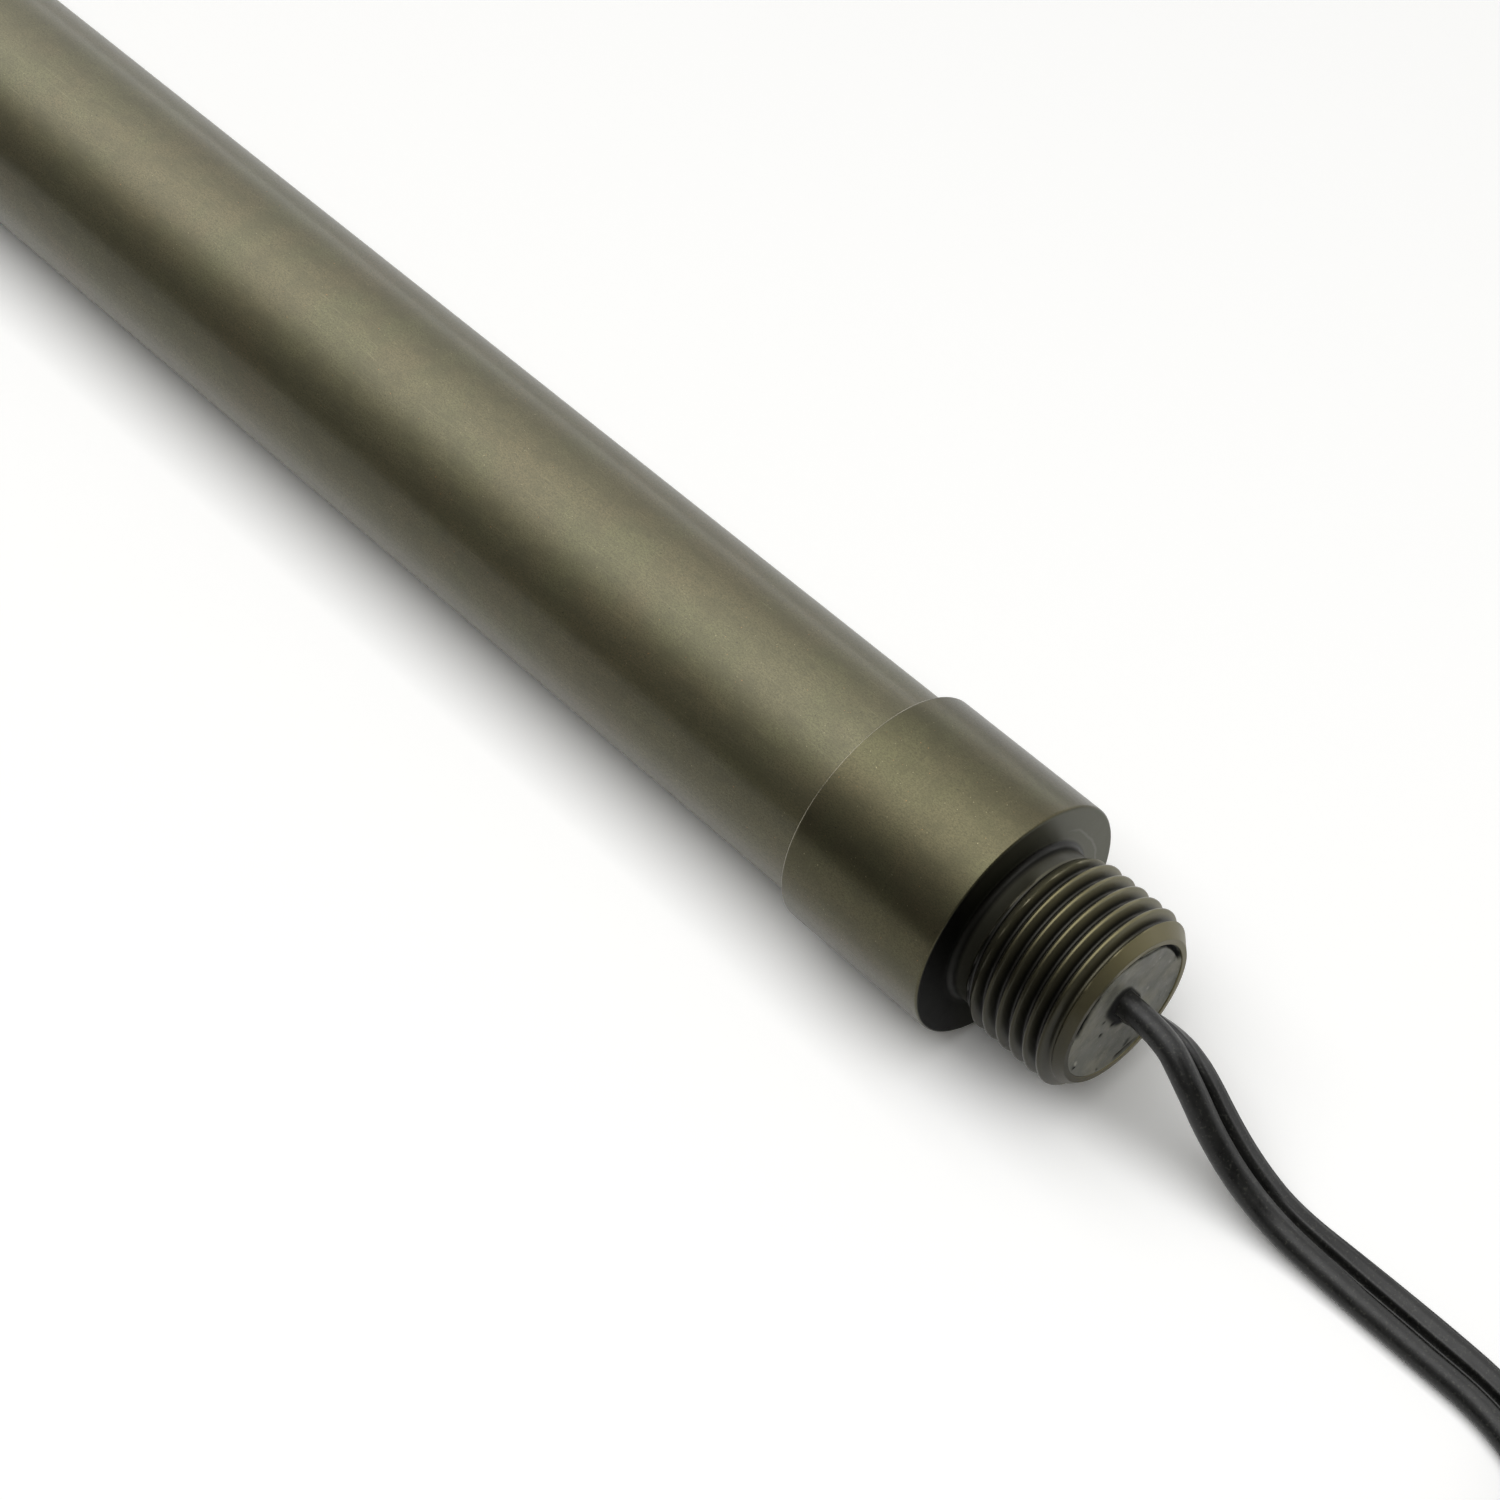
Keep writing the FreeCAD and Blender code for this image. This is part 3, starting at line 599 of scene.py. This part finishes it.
thread_rows = 150
fillet_steps = 8
nipple_turn = np.arange(lathe_columns) * 2 * math.pi / lathe_columns
fitting_rows = eased([
    (fitting_high.x, rim_radius - 0.02 * mm),
    (fitting_high.x, bore_radius),
    (web_x, bore_radius),
    (web_x, socket_radius),
    (fitting_low.x, socket_radius),
    (fitting_low.x, collar_radius - collar_chamfer),
    (fitting_low.x + collar_chamfer, collar_radius),
    (shoulder_x - collar_chamfer, collar_radius),
    (shoulder_x, collar_radius - collar_chamfer),
    (shoulder_x, neck_radius + neck_fillet),
], ease=0.12 * mm)
for step in range(1, fillet_steps + 1):
    angle = step / fillet_steps * math.pi / 2
    fitting_rows.append((shoulder_x + neck_fillet * (1 - math.cos(angle)),
                         neck_radius + neck_fillet * (1 - math.sin(angle))))
fitting_rows.append((neck_end, neck_radius))
for step in range(1, thread_rows + 1):
    row_x = neck_end + (fitting_high.x - neck_end) * step / thread_rows
    fitting_rows.append((row_x, nipple_radius(row_x, nipple_turn)))
fitting = turned("fitting", fitting_rows, fitting_bronze)
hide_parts("base_fitting")


# End cap. A turned cup of the same bronze, pushed over the tube's far end and sealed by the
# rear gasket, with a rounded outer rim.
cap_low, cap_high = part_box("end_cap")
cap_wall = 4.0 * mm
cap_edge = 1.5 * mm
rim_steps = 8
cap_bronze = bronze_finish("cap_bronze", **turned_look)
cap_rows = [(cap_low.x, 0.0), (cap_low.x, collar_radius / 2),
            (cap_low.x, collar_radius - cap_edge - 0.1 * mm)]
for step in range(rim_steps + 1):
    angle = step / rim_steps * math.pi / 2
    cap_rows.append((cap_low.x + cap_edge * (1 - math.cos(angle)),
                     collar_radius - cap_edge * (1 - math.sin(angle))))
cap_rows += eased([
    (cap_low.x + cap_edge + 0.1 * mm, collar_radius),
    (cap_high.x, collar_radius),
    (cap_high.x, socket_radius),
    (cap_low.x + cap_wall, socket_radius),
    (cap_low.x + cap_wall, 0.0),
], ease=0.15 * mm)
cap = turned("cap", cap_rows, cap_bronze, closed=False)
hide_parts("end_cap")


# Cord anchor. Inside the fitting the cord passes a steel clamp, which takes a pull on it, and
# a rubber dam, which held the resin while it was poured.
cord_black = plain_finish("cord_black_inside", shade(34, 34, 34), shade(24, 24, 24),
                          roughness=0.5, size=0.5 * mm, height=0.01 * mm, drawn=along_x)
give(seal_rubber, "resin_dam")
give(steel, "cord_clamp")
give(cord_black, "cord_inside")


# Resin. Grey casting resin fills the nipple's bore nearly flush. It climbed a little round the
# cord and along the wall, shrank away from the wall in places, and holds a pit and a bubble.
resin_low, resin_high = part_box("potting_resin")
resin_radius = (resin_high.y - resin_low.y) / 2
cord_width = 5.6 * mm
cord_thickness = 2.8 * mm
cord_exit = Vector((resin_high.x, -0.3 * mm, 15.3 * mm))
exit_turn = math.radians(61)
width_at_exit = Vector((0, math.cos(exit_turn), -math.sin(exit_turn)))
resin_grey = shade(111, 111, 103)
resin_warm = shade(130, 128, 114)
resin_dull = shade(84, 84, 78)
scuff_pale = shade(150, 148, 136)
pore_dark = shade(30, 30, 28)
stain_and_shadow_dark = shade(16, 16, 15)
dust_and_glint_pale = shade(160, 158, 146)

# Where the resin left the wall: the first and last degree round the bore, how deep the crack
# is, how far from the axis it lies and its half width.
cracks = [
    (8, 99, 0.5 * mm, 7.8 * mm, 0.22 * mm),
    (121, 162, 0.7 * mm, 7.75 * mm, 0.5 * mm),
    (264, 290, 0.3 * mm, 7.75 * mm, 0.18 * mm),
]

# The pit and the bubble: the place across and up, the size and the depth, which is under
# zero where the face stands up.
hollows = [
    (-3.2 * mm, 12.75 * mm, 0.16 * mm, 0.35 * mm),
    (-6.9 * mm, 11.2 * mm, 0.28 * mm, -0.2 * mm),
]

# Marks on the face, from the pit and the bubble to dots, a scratch and pale patches: the place
# across and up and the size, in millimetres, and how dark the mark is, or pale under zero. The
# dark marks at the pit and the bubble are painted shade, and the pale one by the bubble is a
# painted glint.
face_marks = np.array([
    (-3.2, 12.75, 0.24, 1.6), (-6.95, 11.1, 0.27, 1.6), (-6.7, 11.45, 0.2, -2.4),
    (-3.04, 14.86, 0.24, 0.9), (-1.68, 13.15, 0.26, 0.9), (-3.21, 6.9, 0.16, 1.0),
    (1.3, 7.4, 0.4, 0.8), (0.9, 7.0, 0.3, 0.8), (7.4, 16.2, 0.3, 1.0),
    (3.39, 14.4, 0.17, -0.9), (6.34, 16.12, 0.18, -1.0), (3.8, 17.95, 0.14, -0.8),
    (4.2, 18.1, 0.14, -0.8), (4.65, 18.3, 0.14, -0.8), (0.2, 20.0, 1.3, -0.3),
    (2.4, 19.4, 1.1, -0.25),
]) * (mm, mm, mm, 1)


def gap_to_cord(y, z):
    """How far a point of the resin's face lies outside the cord that comes out of it."""
    y, z = y - cord_exit.y, z - cord_exit.z
    half = (cord_width - cord_thickness) / 2
    across = np.clip(y * width_at_exit.y + z * width_at_exit.z, -half, half)
    return np.hypot(y - across * width_at_exit.y, z - across * width_at_exit.z) \
        - cord_thickness / 2


def from_bore_axis(y, z):
    """How far a point of the face lies from the bore's axis, and how many degrees round it."""
    return np.hypot(y, z - axis_z), np.degrees(np.arctan2(z - axis_z, y)) % 360


def crack_depth(y, z):
    """How deep the resin has shrunk away from the wall, along three parts of its edge."""
    reach, turn = from_bore_axis(y, z)
    depth = 0.0
    for first, last, deepest, lies, half_width in cracks:
        inside = np.clip((turn - first) / 7, 0, 1) * np.clip((last - turn) / 12, 0, 1)
        wander = lies + 0.07 * mm * np.sin(np.radians(turn) * 9)
        depth = depth + deepest * inside * np.exp(-((reach - wander) / half_width) ** 4)
    return depth


def resin_height(y, z):
    """The height of the cast face above its middle: slow ripples, the climb round the cord and
    along the wall, the fuller side, and last the pit and the bubble."""
    reach, turn = from_bore_axis(y, z)
    height = 0.05 * mm * np.sin(y / (2.1 * mm)) * np.cos(z / (1.7 * mm)) - crack_depth(y, z)
    height += 0.55 * mm * np.exp(-np.maximum(gap_to_cord(y, z), 0) / (0.35 * mm))
    height += 0.12 * mm * np.exp(-(resin_radius - reach) / (0.25 * mm))
    full_side = np.clip((turn - 40) / 30, 0, 1) * np.clip((185 - turn) / 25, 0, 1)
    height += 0.2 * mm * full_side * np.clip((reach - 4.5 * mm) / (2.5 * mm), 0, 1)
    for middle_y, middle_z, size, depth in hollows:
        height -= depth * np.exp(-((y - middle_y) ** 2 + (z - middle_z) ** 2) / size ** 2)
    return height


def stain_and_shadow_at(y, z):
    """How dark the face is: dirt round the cord with painted shadow under it, the cracks and the
    marks.
    """
    gap = max(gap_to_cord(y, z) - 0.15 * mm, 0)
    # Painted shadow: the dark round the cord spreads further on its lower side, under it.
    under_cord = np.clip((cord_exit.y - y + (cord_exit.z - z)) / (5 * mm), 0, 1)
    by_cord = math.exp(-(gap / (0.32 * mm + 0.6 * mm * under_cord)) ** 4)
    in_crack = min(crack_depth(y, z) / (0.2 * mm), 1)
    spread = np.hypot(y - face_marks[:, 0], z - face_marks[:, 1]) / face_marks[:, 2]
    return max(by_cord, in_crack) + (face_marks[:, 3] * np.exp(-spread ** 2)).sum()


resin, resin_tree, resin_shader = finish("cast_resin", resin_grey, roughness=0.5)
resin_shader.inputs["Specular IOR Level"].default_value = 0.35
stained_and_shaded = resin_tree.nodes.new("ShaderNodeAttribute")
stained_and_shaded.attribute_name = "stained_and_shaded"
stain_shadow_level = stained_and_shaded.outputs["Fac"]
resin_tone = resin_grey
# The attribute darkens the face with dirt, the cracks, painted shadow by the cord and painted shade
# at the pit and the bubble, and lightens it with dust and the bubble's painted glint.
for pattern, low, high, share, colour in (
        (mottle(resin_tree, 3.4 * mm), 0.42, 0.66, 1.0, resin_warm),
        (mottle(resin_tree, 1.4 * mm, detail=5.0), 0.5, 0.68, 0.5, resin_dull),
        (mottle(resin_tree, 0.16 * mm, (1, 3, 2), 2.0), 0.64, 0.74, 0.5, scuff_pale),
        (mottle(resin_tree, 0.34 * mm, detail=1.0), 0.25, 0.21, 0.85, pore_dark),
        (stain_shadow_level, 0, 1, 1.0, stain_and_shadow_dark),
        (stain_shadow_level, 0, -1, 1.0, dust_and_glint_pale)):
    resin_tone = over(resin_tree, resin_tone, where(resin_tree, pattern, low, high, share), colour)
resin_tree.links.new(resin_tone, resin_shader.inputs["Base Color"])
cast_roughness = where(resin_tree, mottle(resin_tree, 1.5 * mm), 0.3, 0.7, 0.6, 0.4)
resin_tree.links.new(choose(resin_tree, where(resin_tree, stain_shadow_level, 0, 1), cast_roughness, 1.0),
                     resin_shader.inputs["Roughness"])
stand_out(resin_tree, resin_shader, mottle(resin_tree, 0.5 * mm, detail=5.0), 0.035 * mm)

resin_columns = 160
resin_face_rows = 64
face_drop = 0.05 * mm
edge_depth = 1 * mm
resin_turn = np.arange(resin_columns) * 2 * math.pi / resin_columns
resin_points = []
for row in range(resin_face_rows + 1):
    reach = resin_radius * row / resin_face_rows
    y, z = reach * np.cos(resin_turn), axis_z + reach * np.sin(resin_turn)
    resin_points += zip(resin_high.x - face_drop + resin_height(y, z), y, z)
for x, reach in ((resin_high.x - edge_depth, resin_radius), (resin_low.x, resin_radius),
                 (resin_low.x, 0.0)):
    y, z = reach * np.cos(resin_turn), axis_z + reach * np.sin(resin_turn)
    resin_points += zip(np.full(resin_columns, x), y, z)
resin_faces = join_rings(resin_columns, len(resin_points) // resin_columns)
resin_plug = mesh_piece("resin_plug", resin_points, resin_faces, resin)
stain_shadow_values = resin_plug.data.attributes.new("stained_and_shaded", "FLOAT", "POINT")
for value, vertex in zip(stain_shadow_values.data, resin_plug.data.vertices):
    value.value = stain_and_shadow_at(vertex.co.y, vertex.co.z)
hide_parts("potting_resin")


# Cord. About 1.8 m of flat two-core flex in black vinyl, with a groove between its cores and
# fine ribs along one of them. It leaves the resin nearly on edge, drops, turns flat on the
# surface, and is put away in a hank, wound on edge in three layers of two.
lead_points = [
    (0.1648, -0.0003, 0.0153),
    (0.1700, 0.0002, 0.01545),
    (0.1745, -0.00045, 0.0133),
    (0.1785, -0.0007, 0.0089),
    (0.1825, -0.00065, 0.0052),
    (0.1875, -0.0004, 0.00225),
    (0.1950, -0.0002, 0.00165),
    (0.2050, -0.00025, 0.00175),
    (0.2150, -0.0003, 0.0016),
    (0.2235, -0.0030, 0.0015),
    (0.2310, -0.0085, 0.0021),
    (0.2380, -0.0140, 0.0030),
    (0.2465, -0.0185, 0.0035),
    (0.2560, -0.0199, 0.0036),
]
tail_points = [
    (0.3440, -0.0199, 0.0093),
    (0.3520, -0.0196, 0.0093),
    (0.3600, -0.0182, 0.0089),
    (0.3680, -0.0154, 0.0083),
    (0.3765, -0.0122, 0.0078),
    (0.3850, -0.0096, 0.0078),
    (0.3930, -0.0096, 0.0078),
]
hank_low, hank_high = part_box("cord_hank")
outer_lane = hank_high.y - cord_thickness / 2
inner_lane = outer_lane - cord_thickness - 0.3 * mm
near_x = hank_low.x + hank_high.y
far_x = hank_high.x - hank_high.y
layer_height = cord_width + 0.1 * mm
first_layer = hank_low.z + cord_width / 2
slots = [(outer_lane, 0), (inner_lane, 0), (inner_lane, 1), (inner_lane, 2), (outer_lane, 2),
         (outer_lane, 1)]
arc_points = 6
run_shares = (0.1, 0.3, 0.5, 0.7, 0.9)
run_length = far_x - near_x
half_round = math.pi * (outer_lane + inner_lane) / 2
loop_length = 2 * half_round + run_length


def lane_at(number, travelled):
    """The lane and height of one loop at this distance from the start of its far bend. Each
    loop shifts to its next place when the one before it has made room."""
    start, end = slots[number], slots[number + 1]
    window = loop_length / (len(slots) - 1)
    begins = window * (len(slots) - 2 - number)
    share = min(max((travelled - begins) / window, 0), 1)
    lane = start[0] + (end[0] - start[0]) * share
    return lane, first_layer + layer_height * (start[1] + (end[1] - start[1]) * share)


def bend_point(middle_x, start_angle, step, number, travelled):
    """One control point of a loop's half round, a little outside the arc that it makes."""
    lane, z = lane_at(number, travelled)
    angle = start_angle + (step + 0.5) * math.pi / arc_points
    reach = lane / math.cos(math.pi / arc_points / 2)
    return middle_x + reach * math.cos(angle), reach * math.sin(angle), z


hank_points = [(near_x + run_length * share, -outer_lane, first_layer) for share in run_shares[1:]]
for number in range(len(slots) - 1):
    for step in range(arc_points):
        travelled = (step + 0.5) / arc_points * half_round
        hank_points.append(bend_point(far_x, -math.pi / 2, step, number, travelled))
    for share in run_shares:
        lane, z = lane_at(number, half_round + share * run_length)
        hank_points.append((far_x - share * run_length, lane, z))
    for step in range(arc_points):
        travelled = half_round + run_length + (step + 0.5) / arc_points * half_round
        hank_points.append(bend_point(near_x, math.pi / 2, step, number, travelled))
    for share in run_shares:
        lane, z = lane_at(number, loop_length)
        hank_points.append((near_x + share * run_length, -lane, z))
hank_points = hank_points[:-1]

cord_route = lead_points + hank_points + tail_points
route_curve = bpy.data.curves.new("cord_route", "CURVE")
route_curve.dimensions = "3D"
route_curve.resolution_u = 8
route = route_curve.splines.new("NURBS")
route.points.add(len(cord_route) - 1)
for point, place in zip(route.points, cord_route):
    point.co = (*place, 1)
route.order_u = 3
route.use_endpoint_u = True
route_object = bpy.data.objects.new("cord_route", route_curve)
route_mesh = bpy.data.meshes.new_from_object(route_object)
cord_path = np.array([v.co for v in route_mesh.vertices])
bpy.data.objects.remove(route_object)
bpy.data.meshes.remove(route_mesh)

# The section across both cores, from the groove between them round each core and back.
core_radius = cord_thickness / 2
web_half = 0.34 * mm
groove_wall = np.array([(0.16, 0.40), (0.31, 0.78), (0.44, 1.12), (0.56, 1.25), (0.7, 1.3)]) * mm
crown_angle = math.radians(112)
crown_steps = 22
ribs = 7
rib_reach = math.radians(62)
rib_height = 0.09 * mm
steps_above_ribs = 5
flat_top = 1.27 * mm


def core_outline(side):
    """One core's outline from the upper groove round to the lower one, in the flat cord's own
    width and thickness. The core on the far side has fine ribs on its outer half."""
    if side < 0:
        angles = np.linspace(crown_angle, -crown_angle, crown_steps + 1)
        reach = np.full(crown_steps + 1, core_radius)
    else:
        ribbed = np.linspace(rib_reach, -rib_reach, 4 * ribs + 1)
        above = np.linspace(crown_angle, rib_reach, steps_above_ribs + 1)[:-1]
        angles = np.concatenate([above, ribbed, -above[::-1]])
        wave = np.cos((angles + rib_reach) / (2 * rib_reach) * ribs * 2 * math.pi)
        reach = core_radius - np.where(np.abs(angles) <= rib_reach, rib_height * (wave + 1) / 2, 0)
        reach = np.minimum(reach, flat_top / np.maximum(np.abs(np.sin(angles)), 0.1))
    crown = np.stack([core_radius + reach * np.cos(angles), reach * np.sin(angles)], 1)
    half = np.concatenate([groove_wall, crown, (groove_wall * (1, -1))[::-1]])
    return half * (side, 1)


outline = np.concatenate([core_outline(1), [(0.0, -web_half)], core_outline(-1)[::-1],
                          [(0.0, web_half)]])

# How the cord lies turned about its own line: degrees at these millimetres from the resin, on
# edge through the hank, and flat again at the plug.
twist = [(0, 69), (5, 50), (10, 31), (15, 24), (20, 22), (25, 21), (31, 12), (38, -3), (46, -9),
         (58, -3), (66, 0), (76, -20), (90, -80), (98, -90)]
on_edge_until = 50 * mm
flat_from = 14 * mm
tangents = np.gradient(cord_path, axis=0)
tangents /= np.linalg.norm(tangents, axis=1)[:, None]
steps_along = np.linalg.norm(np.diff(cord_path, axis=0), axis=1)
distance_along = np.concatenate([[0], np.cumsum(steps_along)])
cord_length = distance_along[-1]
twist_places = [place * mm for place, degrees in twist]
twist_places += [cord_length - on_edge_until, cord_length - flat_from]
twist_turns = [degrees for place, degrees in twist] + [-90, 0]
tilt = np.radians(np.interp(distance_along, twist_places, twist_turns))
widths = np.stack([0 * tilt, np.cos(tilt), -np.sin(tilt)], 1)
widths -= (widths * tangents).sum(1)[:, None] * tangents
widths /= np.linalg.norm(widths, axis=1)[:, None]
thicknesses = np.cross(tangents, widths)
rings = cord_path[:, None] + widths[:, None] * outline[None, :, :1] \
    + thicknesses[:, None] * outline[None, :, 1:]
ring_size = len(outline)
last_ring = (len(cord_path) - 1) * ring_size
cord_faces = join_rings(ring_size, len(cord_path))
cord_faces += [tuple(range(ring_size)), tuple(range(last_ring + ring_size - 1, last_ring - 1, -1))]

vinyl_black = shade(23, 23, 22)
vinyl_deep = shade(11, 11, 10)
dust_grey = shade(58, 58, 53)
vinyl, vinyl_tree, vinyl_shader = finish("cord_vinyl", vinyl_black, roughness=0.34)
vinyl_shader.inputs["Specular IOR Level"].default_value = 0.34
deep_clouds = where(vinyl_tree, mottle(vinyl_tree, 3 * mm), 0.4, 0.65)
dust = where(vinyl_tree, mottle(vinyl_tree, 0.3 * mm, detail=2.0), 0.58, 0.7, 0.6)
vinyl_tone = over(vinyl_tree, vinyl_black, deep_clouds, vinyl_deep)
vinyl_tree.links.new(over(vinyl_tree, vinyl_tone, dust, dust_grey),
                     vinyl_shader.inputs["Base Color"])
vinyl_tree.links.new(where(vinyl_tree, mottle(vinyl_tree, 1 * mm), 0.3, 0.7, 0.42, 0.26),
                     vinyl_shader.inputs["Roughness"])
stand_out(vinyl_tree, vinyl_shader, mottle(vinyl_tree, 0.4 * mm), 0.015 * mm)
cord = mesh_piece("cord", rings.reshape(-1, 3).tolist(), cord_faces, vinyl)
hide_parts("cord_lead", "cord_hank", "cord_tail")


# Tie. A band of black rubber round the middle of the hank, moulded in one closed loop.
# It holds the put-away cord together by its own stretch.
tie_rubber = plain_finish("tie_rubber", shade(46, 46, 45), shade(34, 34, 34),
                          roughness=0.6, size=0.5 * mm, height=0.04 * mm)
give(tie_rubber, "hank_tie")


# Plug. A two-blade plug moulded onto the cord's end in black vinyl, with a grooved sleeve
# behind it and blades of plated brass, one of them wider.
plug_vinyl = plain_finish("plug_vinyl", shade(36, 36, 37), shade(28, 28, 29),
                          roughness=0.45, size=0.5 * mm, height=0.02 * mm)
blade_metal = plain_finish("blade_metal", shade(208, 196, 168), shade(186, 172, 140),
                           roughness=0.25, size=0.2 * mm, height=0.01 * mm, metallic=1.0,
                           drawn=along_x)
give(plug_vinyl, "plug_body", "plug_relief")
give(blade_metal, "plug_blades")


# Camera, floor and light. The camera stands where the photograph's did. The floor is white
# paper under one wide soft lamp, in a pale room whose walls and ceiling the metal mirrors,
# and a grey card past the nipple darkens what the end of the fitting mirrors.
camera_place = (0.28071, -0.15782, 0.29571)
camera_azimuth = math.radians(-47.056)
camera_elevation = math.radians(51.354)
camera_roll = math.radians(-0.288)
camera_data = bpy.data.cameras.new("camera")
camera_data.lens = 83.31
camera_data.sensor_width = 36.0
camera_data.clip_start = 0.01
camera = bpy.data.objects.new("camera", camera_data)
ahead = Vector((math.sin(camera_azimuth) * math.cos(camera_elevation),
                math.cos(camera_azimuth) * math.cos(camera_elevation),
                -math.sin(camera_elevation)))
level = Vector((math.cos(camera_azimuth), -math.sin(camera_azimuth), 0))
upward = level.cross(ahead)
right = level * math.cos(camera_roll) + upward * math.sin(camera_roll)
top = upward * math.cos(camera_roll) - level * math.sin(camera_roll)
camera.matrix_world = Matrix.Translation(camera_place) @ Matrix(
    (right, top, -ahead)).transposed().to_4x4()
bpy.context.scene.collection.objects.link(camera)
bpy.context.scene.camera = camera
bpy.context.scene.view_settings.view_transform = "Standard"


def sheet_of(name, width, depth, place, facing, material):
    """A flat sheet that is part of the studio, with its middle here and facing this way."""
    mesh = bpy.data.meshes.new(name)
    mesh.from_pydata([(-width / 2, -depth / 2, 0), (width / 2, -depth / 2, 0),
                      (width / 2, depth / 2, 0), (-width / 2, depth / 2, 0)], [], [(0, 1, 2, 3)])
    mesh.materials.append(material)
    sheet = bpy.data.objects.new(name, mesh)
    sheet.location = place
    sheet.rotation_mode = "QUATERNION"
    sheet.rotation_quaternion = Vector(facing).to_track_quat("Z", "Y")
    bpy.context.scene.collection.objects.link(sheet)
    return sheet


# The paper is white to the camera and in a mirror, but throws less light back onto the metal.
# Far off, where the lamp no longer reaches, it stays white by itself.
paper_seen = 1.1
paper_mirrored = 0.95
paper_unseen = 0.6
white_from, white_to = 0.5, 2.5
heater_middle = (0.14, 0, 0)
paper, paper_tree, paper_shader = finish("white_paper", (0.98, 0.98, 0.98), roughness=0.9)
paper_shader.inputs["Specular IOR Level"].default_value = 0.0
paper_shader.inputs["Emission Color"].default_value = (1, 1, 1, 1)
paper_ray = paper_tree.nodes.new("ShaderNodeLightPath").outputs
far_off = where(paper_tree, from_point(paper_tree, heater_middle), white_from, white_to)
paper_tree.links.new(together(paper_tree, far_off, paper_ray["Is Camera Ray"]),
                     paper_shader.inputs["Emission Strength"])
off_camera = choose(paper_tree, paper_ray["Is Glossy Ray"], paper_unseen, paper_mirrored)
paper_tree.links.new(choose(paper_tree, paper_ray["Is Camera Ray"], off_camera, paper_seen),
                     paper_shader.inputs["Base Color"])
sheet_of("floor", 30, 30, (0, 0, 0), (0, 0, 1), paper)

grey_card = plain_finish("grey_card", (0.28, 0.28, 0.27), (0.25, 0.25, 0.24),
                         roughness=0.8, size=5 * mm, height=0.05 * mm)
card = sheet_of("dark_card", 0.35, 0.9, (0.47, 0, 0.175), (-1, 0, 0), grey_card)
card.visible_camera = False
card.visible_diffuse = False
card.visible_shadow = False

# The room as the metal mirrors it: its level at these degrees round the heater, from the foot
# of the far wall, over the ceiling, to the foot of the near wall.
room_levels = [(0, 0.6), (8, 0.46), (18, 0.29), (30, 0.275), (40, 0.345), (50, 0.45), (60, 0.555),
               (70, 0.645), (80, 0.75), (90, 0.8), (100, 0.765), (108, 0.66), (115, 0.5),
               (122, 0.33), (130, 0.2), (140, 0.12), (155, 0.075), (170, 0.035), (180, 0.02)]
room_strength = 4.0
share_past_nipple = 0.35
unseen_strength = 0.12
diffuse_tint = (1, 0.985, 0.88)
world = bpy.data.worlds.new("room")
bpy.context.scene.world = world
world.use_nodes = True
room_tree = world.node_tree
room = room_tree.nodes["Background"]
room_ray = room_tree.nodes.new("ShaderNodeLightPath").outputs
room_place = room_tree.nodes.new("ShaderNodeTexCoord")
room_parts = room_tree.nodes.new("ShaderNodeSeparateXYZ")
round_axis = room_tree.nodes.new("ShaderNodeMath")
round_axis.operation = "ARCTAN2"
room_tree.links.new(room_place.outputs["Generated"], room_parts.inputs["Vector"])
room_tree.links.new(room_parts.outputs["Z"], round_axis.inputs[0])
room_tree.links.new(room_parts.outputs["Y"], round_axis.inputs[1])
brightness = room_tree.nodes.new("ShaderNodeFloatCurve")
brightness.mapping.extend = "HORIZONTAL"
levels = brightness.mapping.curves[0]
levels.points[0].location = (0, room_levels[0][1])
levels.points[1].location = (1, room_levels[-1][1])
for degrees, room_level in room_levels[1:-1]:
    levels.points.new(degrees / 180, room_level)
brightness.mapping.update()
room_tree.links.new(where(room_tree, round_axis.outputs["Value"], 0, math.pi),
                    brightness.inputs["Value"])
mirrored = together(room_tree,
                    where(room_tree, brightness.outputs["Value"], 0, 1, room_strength),
                    where(room_tree, room_parts.outputs["X"], 0.4, 0.85, share_past_nipple, 1.0))
off_camera = choose(room_tree, room_ray["Is Glossy Ray"], unseen_strength, mirrored)
room_tree.links.new(choose(room_tree, room_ray["Is Camera Ray"], off_camera, 1.0),
                    room.inputs["Strength"])
room_tree.links.new(over(room_tree, (1, 1, 1), room_ray["Is Diffuse Ray"], diffuse_tint),
                    room.inputs["Color"])

lamp_level = 2.28 * math.pi
lamp_data = bpy.data.lights.new("top_lamp", "AREA")
lamp_data.shape = "RECTANGLE"
lamp_data.size = 2.6
lamp_data.size_y = 1.17
lamp_data.energy = lamp_level * lamp_data.size * lamp_data.size_y
top_lamp = bpy.data.objects.new("top_lamp", lamp_data)
top_lamp.location = (0.35, -0.195, 1.2)
top_lamp.visible_glossy = False
bpy.context.scene.collection.objects.link(top_lamp)
